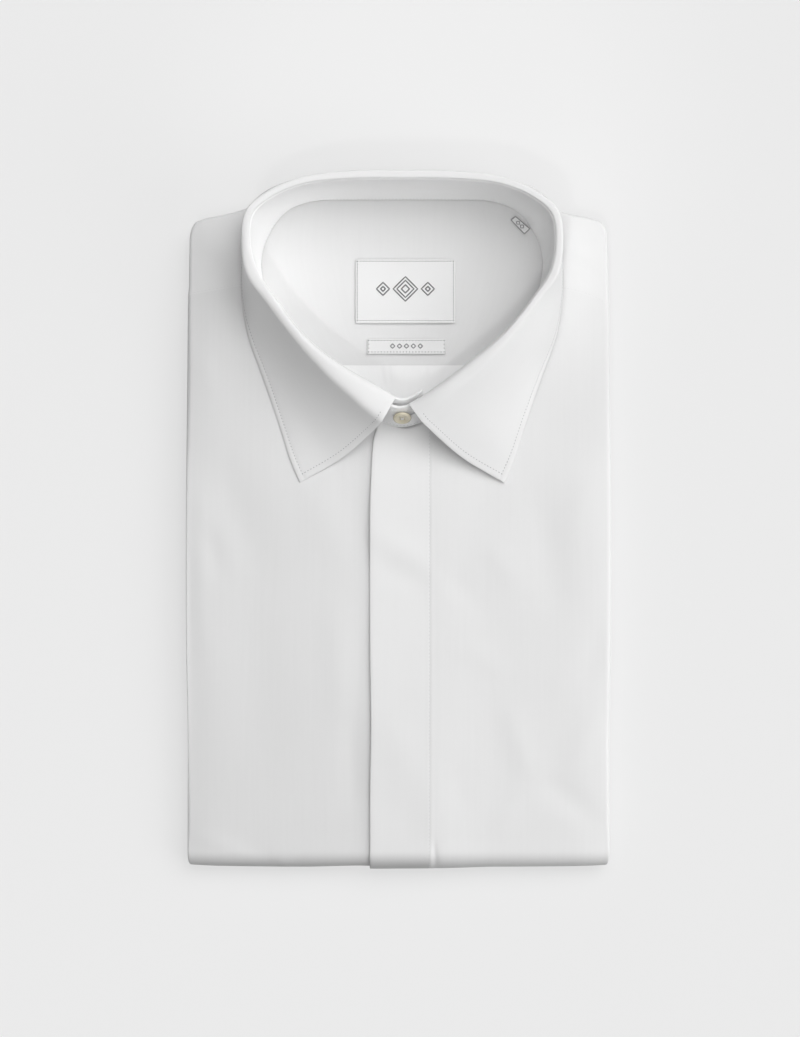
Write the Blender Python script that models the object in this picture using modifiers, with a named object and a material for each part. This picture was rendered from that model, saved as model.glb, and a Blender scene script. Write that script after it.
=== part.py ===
"""A long sleeve dress shirt, folded and lying face up, with its collar buttoned.

Lengths are millimetres and are turned into metres when a mesh is made. X runs
across the shirt, Y from the folded bottom up to the collar, and Z is up. The
bundle is folded once across the bottom, so every cloth that wraps it is placed
by its place across the shirt, its place along that U, and its depth under the
outer face.
"""
from math import acos, cos, hypot, pi, sin, sqrt

import bmesh
import bpy
from mathutils import Vector

MM = 0.001
SHIRT = "long_sleeve_dress_shirt"

# Cloth
WALL = 1.2                # shirting with its turned edges
STAND_WALL = 1.6          # two plies and the interlining
FALL_WALL = 1.3
LABEL_WALL = 1.0
GAP = 0.3                 # between pieces that are sewn or lie together
STEP = WALL + GAP         # one layer over another

# Folded bundle
ROLL_RADIUS = 6.6         # the fold across the bottom
ROLL_Y = -163.4
ROLL_LENGTH = pi * ROLL_RADIUS
CROWN = 1.2               # the top face is lower at the sides
CROWN_SPAN = 104.0
ARM_CLEAR = 1.1           # half of the groove between the two halves of the bundle
LOWER_INSET = 1.6         # the lower half is this much narrower on each side
RETURN = 2.0              # how far a side fold runs back into the groove
LOWER_END_Y = 128.2       # where the tail turns up inside the lower half
END_FOLD_REACH = pi / 3   # there the side folds run flat into the end fold
END_CORNER = 1.5
END_RETURN = 0.4
END_BLEND = 22.0
STRAIGHT_Y = 20.0         # below this the rows of the fronts are straight
FOLD_STEPS = 4            # faces round a side fold
ROLL_FACES = 6            # and round the roll
TOP_SHARES = (0.0, 0.1, 0.25, 0.45, 0.7, 1.0)
STRAIGHT_ROWS = (-5.0, -60.0, -110.0, -145.0)
UNDER_ROWS = (20.0, 110.0, 200.0, 269.0, 277.0, 285.0)    # past the roll

TOP_LINE = (              # y, height of the top face
    (162.0, 11.6), (140.0, 13.0), (115.0, 14.6), (80.0, 15.6), (40.0, 16.4),
    (0.0, 16.6), (-60.0, 16.2), (-110.0, 15.4), (-145.0, 14.2), (-163.4, 13.2),
)
SIDE_LINE = (             # y, half width
    (162.0, 102.0), (140.0, 102.2), (119.0, 102.8), (75.0, 103.2), (0.0, 103.9),
    (-60.0, 103.8), (-108.0, 103.0), (-145.0, 103.1), (-180.0, 103.2),
)
SHOULDER_LINE = (         # x, y along the side and over the shoulder to the centre back
    (103.0, 110.0), (102.8, 121.0), (102.3, 133.0), (101.5, 140.5), (99.4, 145.0),
    (94.5, 147.3), (84.0, 149.4), (73.0, 153.0), (62.0, 157.6), (47.0, 161.4),
    (24.0, 163.2), (0.0, 163.5),
)

# The hidden layers
CORE_COLUMNS = (          # shares of the half width; None is where the corner starts
    -1.0, None, -0.76, -0.54, -0.265, -0.2, -0.141, 0.0, 0.153, 0.275, 0.54, 0.76, None, 1.0,
)
CORE_ROWS = (None, None, -145.0, -110.0, -60.0, 0.0, 40.0, 80.0, 112.0, None, None)
CORNER_EASE = 0.3         # how far a corner is cut back, as a share of its size
CORNER = {"upper": (4.0, 4.5), "lip": (6.0, 6.0), "waist": (6.0, 6.0), "lower": (5.0, 16.0)}
CORE_CLEAR = 0.4          # a little more room at the sides, where the rings are coarse
LIP_END_Y = 139.0
LIP_INSET = 3.4
LIP_HALF = 0.8
LIP_CORNER = 12.0
WAIST_END = 5.0           # the waist stops short of the lower half's end fold
CORE_ROW_ROOM = 4.0
WAIST_CLEAR = 0.12        # the waist's faces stay this far from the next ring
WAIST_MORE = RETURN + 0.6

# Placket, on the wearer's left front
PLACKET_LEFT = -14.1
PLACKET_RIGHT = 15.3
BUTTON_STAND = 12.0       # how far the other front runs under it
PRESS_BLEND = 12.0

# Yoke seams on the fronts: y at the neck and y at the side
YOKE_SEAM = {"left": (115.0, 108.7), "right": (114.5, 104.2)}
SEAM_SPAN = (70.0, 99.8)

# Collar, one half, from the centre front round to the centre back.
COLLAR_X = 1.7            # its centre lies this far to the right of the bundle's
COLLAR_COLUMNS = ("neck", "seam", "crest", "brow", "cheek", "hem")
COLLAR = (
    ((0.2, 46.5, 17.2), (2.6, 57.0, 32.6), (5.0, 54.4, 35.2), (10.8, 46.6, 33.4), (29.5, 29.5, 23.6),
     (50.2, 17.4, 19.2)),
    ((15.7, 52.6, 17.0), (14.6, 64.8, 35.0), (17.4, 62.6, 38.7), (22.9, 57.2, 36.6), (41.0, 41.0, 25.0),
     (54.6, 27.6, 18.9)),
    ((32.8, 64.9, 16.4), (31.0, 75.7, 38.2), (33.4, 73.8, 42.4), (37.4, 69.6, 40.6), (51.2, 55.0, 25.2),
     (60.0, 44.3, 18.6)),
    ((49.9, 82.0, 15.6), (48.5, 90.6, 41.0), (50.0, 89.4, 45.2), (52.8, 86.8, 43.6), (61.8, 75.5, 28.6),
     (68.8, 69.7, 18.0)),
    ((61.7, 99.2, 14.8), (61.0, 107.3, 43.0), (63.2, 107.0, 47.0), (66.6, 105.2, 44.8), (72.2, 95.4, 31.0),
     (75.7, 89.4, 17.2)),
    ((67.6, 115.4, 13.9), (69.3, 119.4, 44.0), (71.8, 119.6, 47.8), (75.3, 117.3, 45.0), (76.6, 112.6, 31.0),
     (78.3, 105.0, 16.4)),
    ((68.6, 127.7, 13.2), (73.0, 133.2, 44.0), (75.1, 133.0, 48.0), (77.8, 132.7, 45.0), (77.5, 130.6, 31.0),
     (78.5, 125.6, 15.8)),
    ((64.2, 140.5, 12.3), (71.6, 147.2, 44.0), (73.2, 148.2, 47.9), (75.3, 149.5, 45.0), (75.7, 149.6, 31.0),
     (76.0, 147.6, 15.4)),
    ((55.9, 150.8, 11.5), (62.4, 155.2, 43.2), (63.6, 156.2, 47.1), (65.5, 157.9, 44.0), (65.6, 160.2, 28.0),
     (66.0, 160.0, 9.6)),
    ((44.1, 155.3, 11.1), (49.2, 160.8, 42.8), (49.7, 161.8, 46.8), (50.7, 164.6, 43.4), (51.0, 165.2, 28.0),
     (51.1, 164.8, 7.4)),
    ((25.5, 156.0, 10.9), (25.2, 163.6, 42.5), (25.2, 164.9, 46.7), (25.2, 168.1, 43.2), (25.3, 169.0, 27.0),
     (25.5, 168.7, 6.6)),
    ((0.0, 156.1, 10.9), (0.0, 163.8, 42.5), (0.0, 165.2, 46.7), (0.0, 168.5, 43.2), (0.0, 169.6, 27.0),
     (0.0, 169.2, 6.4)),
)
LEAF_SAG = (4.2, 4.4, 2.8, 1.2)    # how much lower the first cheeks lie on the wearer's right
CENTRE_BACK = len(COLLAR) - 1
LOOP_LENGTH = 2 * CENTRE_BACK
INNER_END = -0.72         # the wearer's right end of the stand, underneath
OUTER_END = LOOP_LENGTH + 0.78
END_SPREAD = {"neck": 1.0, "seam": 1.9}
FALL_SPREAD = {           # how far the fall moves out at the inner and the outer end
    "seam": (-1.9, 1.9), "crest": (-1.0, 1.9), "brow": (1.2, 1.3), "cheek": (0.0, 0.0), "hem": (0.0, 0.0),
}
ROLL_STEPS = 5
STAND_BULGE = 0.8         # the stand is this much fuller halfway up
STAND_HEIGHTS = (0.0, 0.33, 0.67, 1.0)
SEAM_GAP = 0.9            # from the stand's top edge to the fall
FRONT_SEAM_GAP = 1.3      # and this much more at the buttoned ends
OUTER_END_DROP = 3.0      # the upper end's top edge is lower, under the fall
PANEL_CLEAR = 2.4         # from the inside of the stand to the edge of the fronts
YOKE_CLEAR = 3.0          # and to the edge of the yoke
FRONT_CLEAR = 0.8         # and this much more where the stand is double

# Inside the neck
BOWL_CENTRE = (1.7, 110.0)
BOWL_FLOOR = 10.6
YOKE_BACK_Y = 75.2        # the seam from the yoke lining to the back
LINING_SPAN = (2.62, 7.7)     # rows of the collar between its corners, on each side
BACK_SPAN = (1.2, 2.58)
BACK_INSET = 1.4          # from the neck seam to the back's edge at the front
CUT_CLEAR = 0.9           # from the neck seam to the edge of the opening

# Labels: centre x, centre y, width, height
NECK_LABEL = (3.4, 111.4, 49.5, 32.0)
SMALL_LABEL = (3.9, 84.2, 38.8, 8.0)
TAB_CORNERS = ((57.2, 148.5), (64.8, 141.9), (61.9, 139.2), (54.8, 146.6))

# Button
BUTTON_RADIUS = 4.5
BUTTON_THICKNESS = 1.8
BUTTON_HOLE_RADIUS = 0.45
BUTTON_HOLE_PITCH = 0.85
BUTTON_HEIGHT = 0.60      # how far up the stand it is sewn

COLOURS = {
    "shirting": ((0.84, 0.84, 0.85, 1.0), 0.8),
    "label": ((0.88, 0.88, 0.88, 1.0), 0.6),
    "button": ((0.72, 0.69, 0.62, 1.0), 0.25),
}


def lerp(a, b, t):
    return a + (b - a) * t


def smooth_step(t):
    t = min(max(t, 0.0), 1.0)
    return t * t * (3.0 - 2.0 * t)


def through(before, start, end, after, t):
    """A smooth curve between start and end whose slopes allow for uneven spacing."""
    first = max((start - before).length, 1e-6)
    span = max((end - start).length, 1e-6)
    last = max((after - end).length, 1e-6)
    slope_in = ((start - before) * (span / first) + (end - start) * (first / span)) * (span / (first + span))
    slope_out = ((end - start) * (last / span) + (after - end) * (span / last)) * (span / (span + last))
    share = 3 * t ** 2 - 2 * t ** 3
    leave = t ** 3 - 2 * t ** 2 + t
    arrive = t ** 3 - t ** 2
    return start * (1 - share) + slope_in * leave + end * share + slope_out * arrive


def table_value(table, key):
    """Read a two-column table at key, straight between its rows."""
    rows = sorted(table)
    if key <= rows[0][0]:
        return rows[0][1]
    for low, high in zip(rows, rows[1:]):
        if key <= high[0]:
            return lerp(low[1], high[1], (key - low[0]) / (high[0] - low[0]))
    return rows[-1][1]


# ---------------------------------------------------------------- the bundle

def top_height(y):
    return table_value(TOP_LINE, y)


def middle_height(y):
    return 0.5 * top_height(max(y, ROLL_Y))


def under(w):
    """0 on the top face, 1 on the underside, easing over the roll."""
    return smooth_step((ROLL_Y - w) / ROLL_LENGTH)


def end_radius():
    return 0.5 * (middle_height(LOWER_END_Y) - ARM_CLEAR)


UNDER_START = ROLL_Y - ROLL_LENGTH
UNDER_END = UNDER_START - (LOWER_END_Y - ROLL_Y)


def u_path(w):
    """Place and outward normal, in Y and Z, at w along the U fold.

    w is y on the top face, then falls on round the roll and the underside.
    """
    if w >= ROLL_Y:
        slope = (top_height(w + 1.0) - top_height(w - 1.0)) / 2.0 if w > ROLL_Y + 1.0 else 0.0
        size = hypot(slope, 1.0)
        return w, top_height(w), -slope / size, 1.0 / size
    if w >= UNDER_START:
        angle = (ROLL_Y - w) / ROLL_RADIUS
        y = ROLL_Y - ROLL_RADIUS * sin(angle)
        return y, ROLL_RADIUS * (1.0 + cos(angle)), -sin(angle), cos(angle)
    if w >= UNDER_END:
        return ROLL_Y + (UNDER_START - w), 0.0, 0.0, -1.0
    radius = end_radius()
    angle = min((UNDER_END - w) / radius, pi)
    past = max((UNDER_END - w) - pi * radius, 0.0)
    y = LOWER_END_Y + radius * sin(angle) - past
    return y, radius * (1.0 - cos(angle)), sin(angle), -cos(angle)


def crown(x, w):
    return CROWN * (abs(x) / CROWN_SPAN) ** 4 * (1.0 - under(w))


def pressed(x):
    """1 beside and beneath the placket, easing to 0 away from it."""
    if x < PLACKET_LEFT:
        return 1.0 - smooth_step((PLACKET_LEFT - x) / PRESS_BLEND)
    if x > PLACKET_RIGHT:
        return 1.0 - smooth_step((x - PLACKET_RIGHT) / PRESS_BLEND)
    return 1.0


def side_width(w):
    y = u_path(w)[0]
    return table_value(SIDE_LINE, y) - LOWER_INSET * under(w)


def fold_radius(w):
    """Radius of the side fold: half of that arm of the bundle."""
    if w >= ROLL_Y:
        arm = middle_height(w)
    elif w >= UNDER_START:
        arm = ROLL_RADIUS
    else:
        arm = middle_height(u_path(w)[0])
    return 0.5 * (arm - ARM_CLEAR - CROWN * (1.0 - under(w)))


def body_point(x, w, depth):
    y, z, normal_y, normal_z = u_path(w)
    depth = depth + crown(x, w)
    return Vector((x, y - depth * normal_y, z - depth * normal_z))


# ---------------------------------------------------------------- the collar

def collar_row(index, column, side):
    x, y, z = COLLAR[index][COLLAR_COLUMNS.index(column)]
    if column == "cheek" and side < 0.0 and index < len(LEAF_SAG):
        z -= LEAF_SAG[index]
    return Vector((COLLAR_X + side * x, y, z))


def collar_key(number, column, closed):
    """Row of the whole collar: 0 at the left front, then round the back."""
    if closed:
        number %= LOOP_LENGTH
    number = min(max(number, 0), LOOP_LENGTH)
    if number <= CENTRE_BACK:
        return collar_row(number, column, -1.0)
    return collar_row(LOOP_LENGTH - number, column, 1.0)


def collar_point(t, column, closed=False):
    start = int(t // 1)
    if not closed:
        start = min(max(start, 0), LOOP_LENGTH - 1)
    keys = [collar_key(start + step, column, closed) for step in (-1, 0, 1, 2)]
    if closed:
        # The loop's first row is the centre front, on the centre line itself.
        for slot, step in enumerate((-1, 0, 1, 2)):
            if (start + step) % LOOP_LENGTH == 0:
                keys[slot] = Vector((COLLAR_X, keys[slot].y, keys[slot].z))
    return through(*keys, t - start)


def end_shift(t):
    """-1 on the inner end of the stand, 1 on the outer end, 0 elsewhere."""
    inner = 1.0 - smooth_step((t - 0.6) / 1.9)
    outer = smooth_step((t - (LOOP_LENGTH - 2.5)) / 1.9)
    return outer - inner


def collar_outward(t):
    """Level outward direction of the collar, tilted up where the stand leans in."""
    along = collar_point(t + 0.05, "seam", True) - collar_point(t - 0.05, "seam", True)
    rise = collar_point(t, "seam", True) - collar_point(t, "neck", True)
    return rise.cross(along).normalized()


def stand_point(t, height):
    """The inside face of the stand; height is 0 at the neck and 1 at the top."""
    low = collar_point(t, "neck", True)
    high = collar_point(t, "seam", True)
    out = collar_outward(t)
    shift = end_shift(t)
    drop = OUTER_END_DROP * smooth_step((t - (LOOP_LENGTH - 0.6)) / 1.0)
    high = high + out * shift * END_SPREAD["seam"] - (high - low).normalized() * drop
    low = low + out * shift * END_SPREAD["neck"]
    bulge = sin(pi * height) * STAND_BULGE
    return low.lerp(high, height) + out * bulge


def neck_line(t, outward):
    """The neck seam moved outwards in plan, where the body cloth ends."""
    here = collar_point(t, "neck", True)
    along = collar_point(t + 0.05, "neck", True) - collar_point(t - 0.05, "neck", True)
    level = Vector((-along.y, along.x, 0.0)).normalized()
    front = 1.0 - smooth_step(min(t, LOOP_LENGTH - t) / 1.6)
    return here + level * (outward + FRONT_CLEAR * front)


def front_neck_y(x):
    """y of the fronts' neck edge at x; very large outside the neck."""
    side = -1.0 if x < COLLAR_X else 1.0
    steps = [0.1 * k for k in range(0, 66)]
    line = [neck_line(t if side < 0 else LOOP_LENGTH - t, PANEL_CLEAR) for t in steps]
    for near, far in zip(line, line[1:]):
        if side * (near.x - x) <= 0.0 <= side * (far.x - x):
            return lerp(near.y, far.y, (x - near.x) / (far.x - near.x))
    return 1000.0


def seam_y(x):
    """y of the yoke's front seam at x."""
    at_neck, at_side = YOKE_SEAM["left" if x < 0 else "right"]
    return lerp(at_neck, at_side, min((abs(x) - SEAM_SPAN[0]) / (SEAM_SPAN[1] - SEAM_SPAN[0]), 1.0))


def bowl_ratio(x, y):
    """How far a point lies from the bowl's centre, as a share of the neck loop."""
    place = Vector((x - BOWL_CENTRE[0], y - BOWL_CENTRE[1]))
    if place.length < 0.01:
        return 0.0, CENTRE_BACK
    for k in range(0, LOOP_LENGTH * 4):
        a = collar_point(k * 0.25, "neck", True)
        b = collar_point(k * 0.25 + 0.25, "neck", True)
        from_a = Vector((a.x - BOWL_CENTRE[0], a.y - BOWL_CENTRE[1]))
        from_b = Vector((b.x - BOWL_CENTRE[0], b.y - BOWL_CENTRE[1]))
        across = from_b - from_a
        base = place.x * across.y - place.y * across.x
        if abs(base) < 1e-9:
            continue
        share = (place.y * from_a.x - place.x * from_a.y) / base
        reach = (from_a.x * across.y - from_a.y * across.x) / base
        if -1e-6 <= share <= 1.0 + 1e-6 and reach > 0.0:
            return 1.0 / reach, k * 0.25 + 0.25 * share
    return 1.0, CENTRE_BACK


def bowl_height(x, y):
    """Height of the cloth inside the neck: it lies flat and rises to the seam."""
    ratio, t = bowl_ratio(x, y)
    rim = collar_point(t, "neck", True)
    rim_height = lerp(BOWL_FLOOR + 0.6, rim.z + 0.5, smooth_step((rim.y - 92.0) / 25.0))
    return BOWL_FLOOR + (rim_height - BOWL_FLOOR) * min(ratio, 1.02) ** 5


# ---------------------------------------------------------------- mesh makers

def new_object(name, mesh, collection, finish):
    item = bpy.data.objects.new(name, mesh)
    collection.objects.link(item)
    item.data.materials.append(finish)
    item.data.shade_smooth()
    item.data.set_sharp_from_angle(angle=0.7)
    return item


def cloth_sheet(name, rows, collection, finish, wall, flip=False):
    """A sheet through rows of points on its outer face, thickened inwards."""
    shape = bmesh.new()
    grid = [[shape.verts.new(point * MM) for point in row] for row in rows]
    for low, high in zip(grid, grid[1:]):
        for k in range(len(low) - 1):
            corners = (low[k], low[k + 1], high[k + 1], high[k])
            shape.faces.new(tuple(reversed(corners)) if flip else corners)
    mesh = bpy.data.meshes.new(name)
    shape.to_mesh(mesh)
    shape.free()
    item = new_object(name, mesh, collection, finish)
    solid = item.modifiers.new("thickness", "SOLIDIFY")
    solid.thickness = wall * MM
    solid.offset = -1.0
    return item


def closed_grid(rings, caps):
    """A closed mesh from stacked rings of equal length and its two cap grids."""
    shape = bmesh.new()
    loops = [[shape.verts.new(point * MM) for point in ring] for ring in rings]
    count = len(loops[0])
    for low, high in zip(loops, loops[1:]):
        for k in range(count):
            n = (k + 1) % count
            shape.faces.new((low[k], low[n], high[n], high[k]))
    for loop, (cap, columns, rows), turned in ((loops[0], caps[0], True), (loops[-1], caps[1], False)):
        grid = cap_vertices(shape, loop, cap, columns, rows)
        for j in range(rows - 1):
            for i in range(columns - 1):
                corners = (grid[j][i], grid[j][i + 1], grid[j + 1][i + 1], grid[j + 1][i])
                shape.faces.new(tuple(reversed(corners)) if turned else corners)
    bmesh.ops.recalc_face_normals(shape, faces=shape.faces)
    return shape


def cap_vertices(shape, loop, cap, columns, rows):
    """The cap's own points inside, with the ring's points as its border."""
    grid = [[None] * columns for _ in range(rows)]
    for (i, j), vertex in zip(border_keys(columns, rows), loop):
        grid[j][i] = vertex
    for j in range(1, rows - 1):
        for i in range(1, columns - 1):
            grid[j][i] = shape.verts.new(cap(i, j) * MM)
    return grid


def border_keys(columns, rows):
    keys = [(i, 0) for i in range(columns)]
    keys += [(columns - 1, j) for j in range(1, rows)]
    keys += [(i, rows - 1) for i in range(columns - 2, -1, -1)]
    keys += [(0, j) for j in range(rows - 2, 0, -1)]
    return keys


def coons_rows(bottom, top, left, right):
    """Rows of a patch between four edges in plan: lists of (x, y) pairs."""
    rows = []
    last_i, last_j = len(bottom) - 1, len(left) - 1
    for j in range(last_j + 1):
        v = j / last_j
        row = []
        for i in range(last_i + 1):
            u = i / last_i
            ruled_up = bottom[i].lerp(top[i], v)
            ruled_across = left[j].lerp(right[j], u)
            corners = bottom[0].lerp(bottom[-1], u).lerp(top[0].lerp(top[-1], u), v)
            row.append(ruled_up + ruled_across - corners)
        rows.append(row)
    return rows


# ---------------------------------------------------------------- the pieces

def fold_columns(w, side):
    """x and depth round one side fold, from the top of it into the groove."""
    radius = fold_radius(w)
    ending = smooth_step((UNDER_END + END_BLEND - w) / END_BLEND)
    reach = lerp(pi, END_FOLD_REACH, ending)
    centre = side_width(w) - END_CORNER * ending - radius
    places = []
    for k in range(FOLD_STEPS + 1):
        angle = reach * k / FOLD_STEPS
        places.append((side * (centre + radius * sin(angle)), radius * (1.0 - cos(angle))))
    x, depth = places[-1]
    onward = lerp(RETURN, END_RETURN, ending)
    places.append((x + side * onward * cos(reach), depth + onward * sin(reach)))
    return places


def front_rows():
    """Shares from the top edge to the straight rows, then w all along the U."""
    roll = [ROLL_Y - ROLL_LENGTH * k / ROLL_FACES for k in range(ROLL_FACES + 1)]
    lower = [UNDER_START - reach for reach in UNDER_ROWS]
    end = [UNDER_END - end_radius() * pi * k / FOLD_STEPS for k in range(FOLD_STEPS + 1)]
    return TOP_SHARES, list(STRAIGHT_ROWS) + roll + lower + end


def build_front(name, columns, side, layer, collection, finish):
    """One front: over the top face, round the roll, the underside and the side."""
    shares, along = front_rows()
    rows = []
    for share in shares:
        row = []
        for x in columns:
            row.append(front_point(x, share, layer))
        start = seam_y(side * SIDE_LINE[2][1]) - 0.5 * GAP
        w = lerp(start, STRAIGHT_Y, share)
        row += [body_fold_point(place, w, side) for place in fold_columns(w, side)]
        rows.append(row)
    for w in along:
        row = [body_point(x, w, layer(x, w)) for x in columns]
        row += [body_fold_point(place, w, side) for place in fold_columns(w, side)]
        rows.append(row)
    return cloth_sheet(name, rows, collection, finish, WALL, flip=side > 0)


def front_point(x, share, layer):
    start = min(front_neck_y(x), seam_y(x) - 0.5 * GAP)
    w = lerp(start, STRAIGHT_Y, share)
    return body_point(x, w, layer(x, w))


def body_fold_point(place, w, side):
    """A point of the side fold: the crown is that of the fold's inner line."""
    x, depth = place
    inner = side * (side_width(w) - fold_radius(w))
    return body_point(inner, w, depth) + Vector((x - inner, 0.0, 0.0))


def right_layer(x, w):
    return STEP * pressed(x) * under(w)


def left_layer(x, w):
    return -STEP * pressed(x) * (1.0 - under(w))


def placket_layer(x, w):
    return -STEP * (1.0 - under(w))


def build_placket(collection, finish):
    xs = (PLACKET_LEFT, -7.0, 0.6, 8.0, PLACKET_RIGHT)
    shares, along = front_rows()
    rows = []
    for share in shares:
        rows.append([front_point(x, share, placket_layer) for x in xs])
    for w in along:
        rows.append([body_point(x, w, placket_layer(x, w)) for x in xs])
    return cloth_sheet("placket", rows, collection, finish, WALL, flip=True)


def shoulder_outline():
    """Outline of the yoke in plan with its outward direction, left side first."""
    points = [Vector(place) for place in SHOULDER_LINE]
    half = []
    for k in range(len(points) - 1):
        before = points[k - 1] if k else points[0] * 2 - points[1]
        after = points[k + 2] if k + 2 < len(points) else Vector((-points[k].x, points[k].y))
        half.append(points[k])
        if 1 <= k <= 6:
            half.append(through(before, points[k], points[k + 1], after, 0.5))
    half.append(points[-1])
    left = [Vector((-p.x, p.y)) for p in half]
    return left + list(reversed(half))[1:]


def build_yoke(collection, finish):
    """Outer yoke: from the fronts' seams over the shoulders and down the back."""
    outline = shoulder_outline()
    outline[0] = Vector((-side_width(seam_y(-103.0)), seam_y(-103.0) + 0.5 * GAP))
    outline[-1] = Vector((side_width(seam_y(103.0)), seam_y(103.0) + 0.5 * GAP))
    starts = (neck_start(-1.0), LOOP_LENGTH - neck_start(1.0))
    last = len(outline) - 1
    rows = []
    for k, edge in enumerate(outline):
        before = outline[max(k - 1, 0)]
        after = outline[min(k + 1, last)]
        along = (after - before).normalized()
        out = Vector((-along.y, along.x))
        if k == 0 or k == last:
            out = Vector((-1.0 if k == 0 else 1.0, 0.0))
        neck = nearest_neck(edge, *starts)
        neck = Vector((neck.x, neck.y))
        if k == 0 or k == last:
            neck.y = seam_y(neck.x) + 0.5 * GAP
        rows.append(yoke_section(neck, edge, out))
    return cloth_sheet("yoke", rows, collection, finish, WALL, flip=True)


def neck_start(side):
    """Where along the collar the yoke's front seam meets the neck."""
    best = 5.0
    for k in range(40, 70):
        t = 0.1 * k
        place = neck_line(t if side < 0 else LOOP_LENGTH - t, PANEL_CLEAR)
        if place.y < seam_y(side * 70.0) + 0.5 * GAP:
            best = t
    return best


def nearest_neck(edge, first, last):
    """The neck edge's place nearest to a place on the outline."""
    steps = [lerp(first, last, k / 160) for k in range(161)]
    places = [neck_line(t, YOKE_CLEAR) for t in steps]
    return min(places, key=lambda p: hypot(p.x - edge.x, p.y - edge.y))


def yoke_section(neck, edge, out):
    w = min(edge.y, 160.0)
    top = CROWN * (abs(edge.x) / CROWN_SPAN) ** 4
    radius = 0.5 * (middle_height(w) - ARM_CLEAR - top)
    centre = edge - out * radius
    row = []
    for share in (0.0, 0.33, 0.67):
        place = neck.lerp(centre, share)
        row.append(body_point(place.x, place.y, 0.0))
    base = body_point(centre.x, centre.y, 0.0)
    for k in range(FOLD_STEPS + 1):
        angle = pi * k / FOLD_STEPS
        place = centre + out * radius * sin(angle)
        row.append(Vector((place.x, place.y, base.z - radius * (1.0 - cos(angle)))))
    place = centre - out * RETURN
    row.append(Vector((place.x, place.y, base.z - 2.0 * radius)))
    return row


def neck_floor_rows(edges):
    """Turn a patch in plan into points on the cloth inside the neck."""
    rows = coons_rows(*edges)
    return [[Vector((p.x, p.y, bowl_height(p.x, p.y))) for p in row] for row in rows]


def inner_loop(t):
    here = neck_line(t, -2.0 * GAP - (FRONT_CLEAR if t < 1.6 or t > LOOP_LENGTH - 1.6 else 0.0))
    return Vector((here.x, here.y))


def build_yoke_lining(collection, finish):
    low, high = LINING_SPAN
    left = [inner_loop(lerp(low, high, k / 7)) for k in range(8)]
    right = [inner_loop(LOOP_LENGTH - lerp(low, high, k / 7)) for k in range(8)]
    seam = YOKE_BACK_Y + 0.5 * GAP
    left[0] = Vector((left[0].x, seam))
    right[0] = Vector((right[0].x, seam))
    bottom = [left[0].lerp(right[0], k / 14) for k in range(15)]
    top = [inner_loop(lerp(high, LOOP_LENGTH - high, k / 14)) for k in range(15)]
    rows = neck_floor_rows((bottom, top, left, right))
    return cloth_sheet("yoke_lining", rows, collection, finish, LABEL_WALL)


def build_back(collection, finish):
    low, high = BACK_SPAN
    left = [inner_loop(lerp(low, high, k / 4)) for k in range(5)]
    right = [inner_loop(LOOP_LENGTH - lerp(low, high, k / 4)) for k in range(5)]
    seam = YOKE_BACK_Y - 0.5 * GAP
    left[-1] = Vector((left[-1].x, seam))
    right[-1] = Vector((right[-1].x, seam))
    top = [left[-1].lerp(right[-1], k / 10) for k in range(11)]
    bottom = []
    for k in range(11):
        t = lerp(low, -low, k / 10)
        place = collar_point(t % LOOP_LENGTH, "neck", True)
        bottom.append(Vector((place.x, place.y + BACK_INSET)))
    bottom[0], bottom[-1] = left[0], right[0]
    rows = neck_floor_rows((bottom, top, left, right))
    return cloth_sheet("back", rows, collection, finish, LABEL_WALL)


def collar_steps():
    """Where the collar's sections stand, closer at the fronts and the corners."""
    half = [0.0, 0.35, 0.8, 1.4, 2.0, 2.6, 3.2, 3.8]
    half += [4.3 + 0.5 * k for k in range(0, 9)]
    half += [8.7, 9.2, 10.0]
    return half + [float(CENTRE_BACK)] + [LOOP_LENGTH - t for t in reversed(half)]


def build_stand(collection, finish):
    steps = [INNER_END, 0.5 * INNER_END] + collar_steps()
    steps += [lerp(LOOP_LENGTH, OUTER_END, 0.5), OUTER_END]
    rows = [[stand_point(t, h) for h in STAND_HEIGHTS] for t in steps]
    return cloth_sheet("collar_stand", rows, collection, finish, STAND_WALL, flip=True)


def fall_column(t, column):
    point = collar_point(t, column)
    ends = end_shift(t)
    spread = FALL_SPREAD[column][0 if ends < 0.0 else 1] * abs(ends)
    shift = collar_outward(min(max(t, 0.05), LOOP_LENGTH - 0.05)) * spread
    if column == "seam":
        rise = point - collar_point(t, "neck")
        front = 1.0 - smooth_step(min(t, LOOP_LENGTH - t) / 1.2)
        shift = shift + rise.normalized() * (SEAM_GAP + FRONT_SEAM_GAP * front)
    return point + shift


def fall_section(t):
    """From the seam on the stand, round the roll and down to the hem."""
    seam, crest, brow, cheek, hem = [fall_column(t, column) for column in COLLAR_COLUMNS[1:]]
    middle = (seam + brow) * 0.5
    section = []
    for k in range(ROLL_STEPS + 1):
        angle = pi * k / ROLL_STEPS
        section.append(middle + (seam - middle) * cos(angle) + (crest - middle) * sin(angle))
    for step in range(1, 4):
        section.append(through(section[ROLL_STEPS - 1], brow, cheek, hem, step / 3))
    for step in range(1, 3):
        section.append(through(brow, cheek, hem, hem * 2 - cheek, step / 2))
    return section


def build_fall(collection, finish):
    rows = [fall_section(t) for t in collar_steps()]
    return cloth_sheet("collar_fall", rows, collection, finish, FALL_WALL, flip=True)


def build_label(name, label, collection, finish):
    x, y, width, height = label
    rows = []
    for j in range(5):
        row = []
        for i in range(7):
            px = x + width * (i / 6 - 0.5)
            py = y + height * (j / 4 - 0.5)
            row.append(Vector((px, py, bowl_height(px, py) + GAP + LABEL_WALL)))
        rows.append(row)
    return cloth_sheet(name, rows, collection, finish, LABEL_WALL)


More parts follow.
